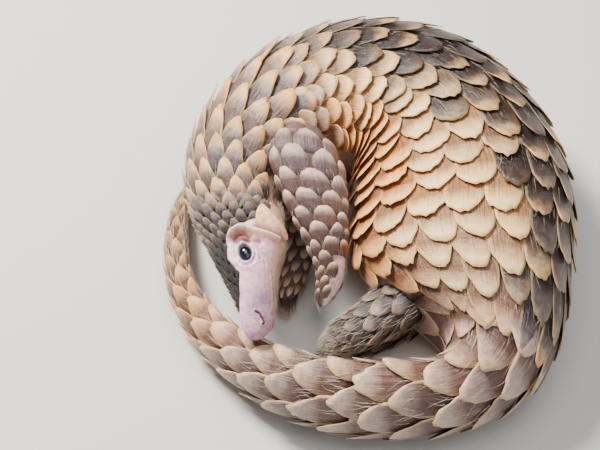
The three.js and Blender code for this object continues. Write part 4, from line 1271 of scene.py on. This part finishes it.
# %% Floor
FLOOR = 3.0
floor_shader = Shader("Floor")
floor_mesh = bpy.data.meshes.new("floor")
floor_mesh.from_pydata([(-FLOOR, -FLOOR, 0.0), (FLOOR, -FLOOR, 0.0), (FLOOR, FLOOR, 0.0),
                        (-FLOOR, FLOOR, 0.0)], [], [(0, 1, 2, 3)])
floor_mesh.materials.append(floor_shader.look(Base_Color=linear(0.80, 0.79, 0.77), Roughness=0.85))
floor = bpy.data.objects.new("floor", floor_mesh)
bpy.context.collection.objects.link(floor)
print("the floor is", 2 * FLOOR, "m wide")

# %% Lamps
# Place, side in metres, watts and colour of each lamp, all of which face the same point
LAMPS = {
    "key": ((-0.7, 0.5, 1.3), 0.4, 70, (1.0, 0.97, 0.92)),
    "fill": ((0.9, -0.9, 1.1), 1.4, 7, (0.95, 0.97, 1.0)),
    "top": ((0.1, 0.0, 1.6), 1.0, 15, (1.0, 1.0, 1.0)),
}
LAMP_AIM = (0.0, 0.0, 0.05)
for name, (place, size, power, colour) in LAMPS.items():
    data = bpy.data.lights.new(name, "AREA")
    data.size = size
    data.energy = power
    data.color = colour
    lamp = bpy.data.objects.new(name, data)
    bpy.context.collection.objects.link(lamp)
    lamp.location = place
    way = np.array(LAMP_AIM) - np.array(place)
    lamp.rotation_euler = Vector(way).to_track_quat("-Z", "Y").to_euler()
    print("lamp", name, power, "W")
world = bpy.context.scene.world or bpy.data.worlds.new("Studio")
bpy.context.scene.world = world
world.use_nodes = True
background = world.node_tree.nodes["Background"]
background.inputs["Color"].default_value = (0.85, 0.88, 0.92, 1)
background.inputs["Strength"].default_value = 0.2

# %% Camera
ELEVATION = math.radians(60)
DISTANCE = 1.1
LENS = 82.5
SENSOR = 36.0
AIM_HEIGHT = 60.0
aim = (np.array([0.0, 0.0, AIM_HEIGHT]) + SHIFT) / MM
camera_data = bpy.data.cameras.new("camera")
camera_data.lens = LENS
camera_data.sensor_width = SENSOR
camera = bpy.data.objects.new("camera", camera_data)
bpy.context.collection.objects.link(camera)
camera.location = aim + DISTANCE * np.array([0.0, -math.cos(ELEVATION), math.sin(ELEVATION)])
camera.rotation_euler = (math.pi / 2 - ELEVATION, 0.0, 0.0)
bpy.context.scene.camera = camera
print("camera at", np.array(camera.location).round(3))
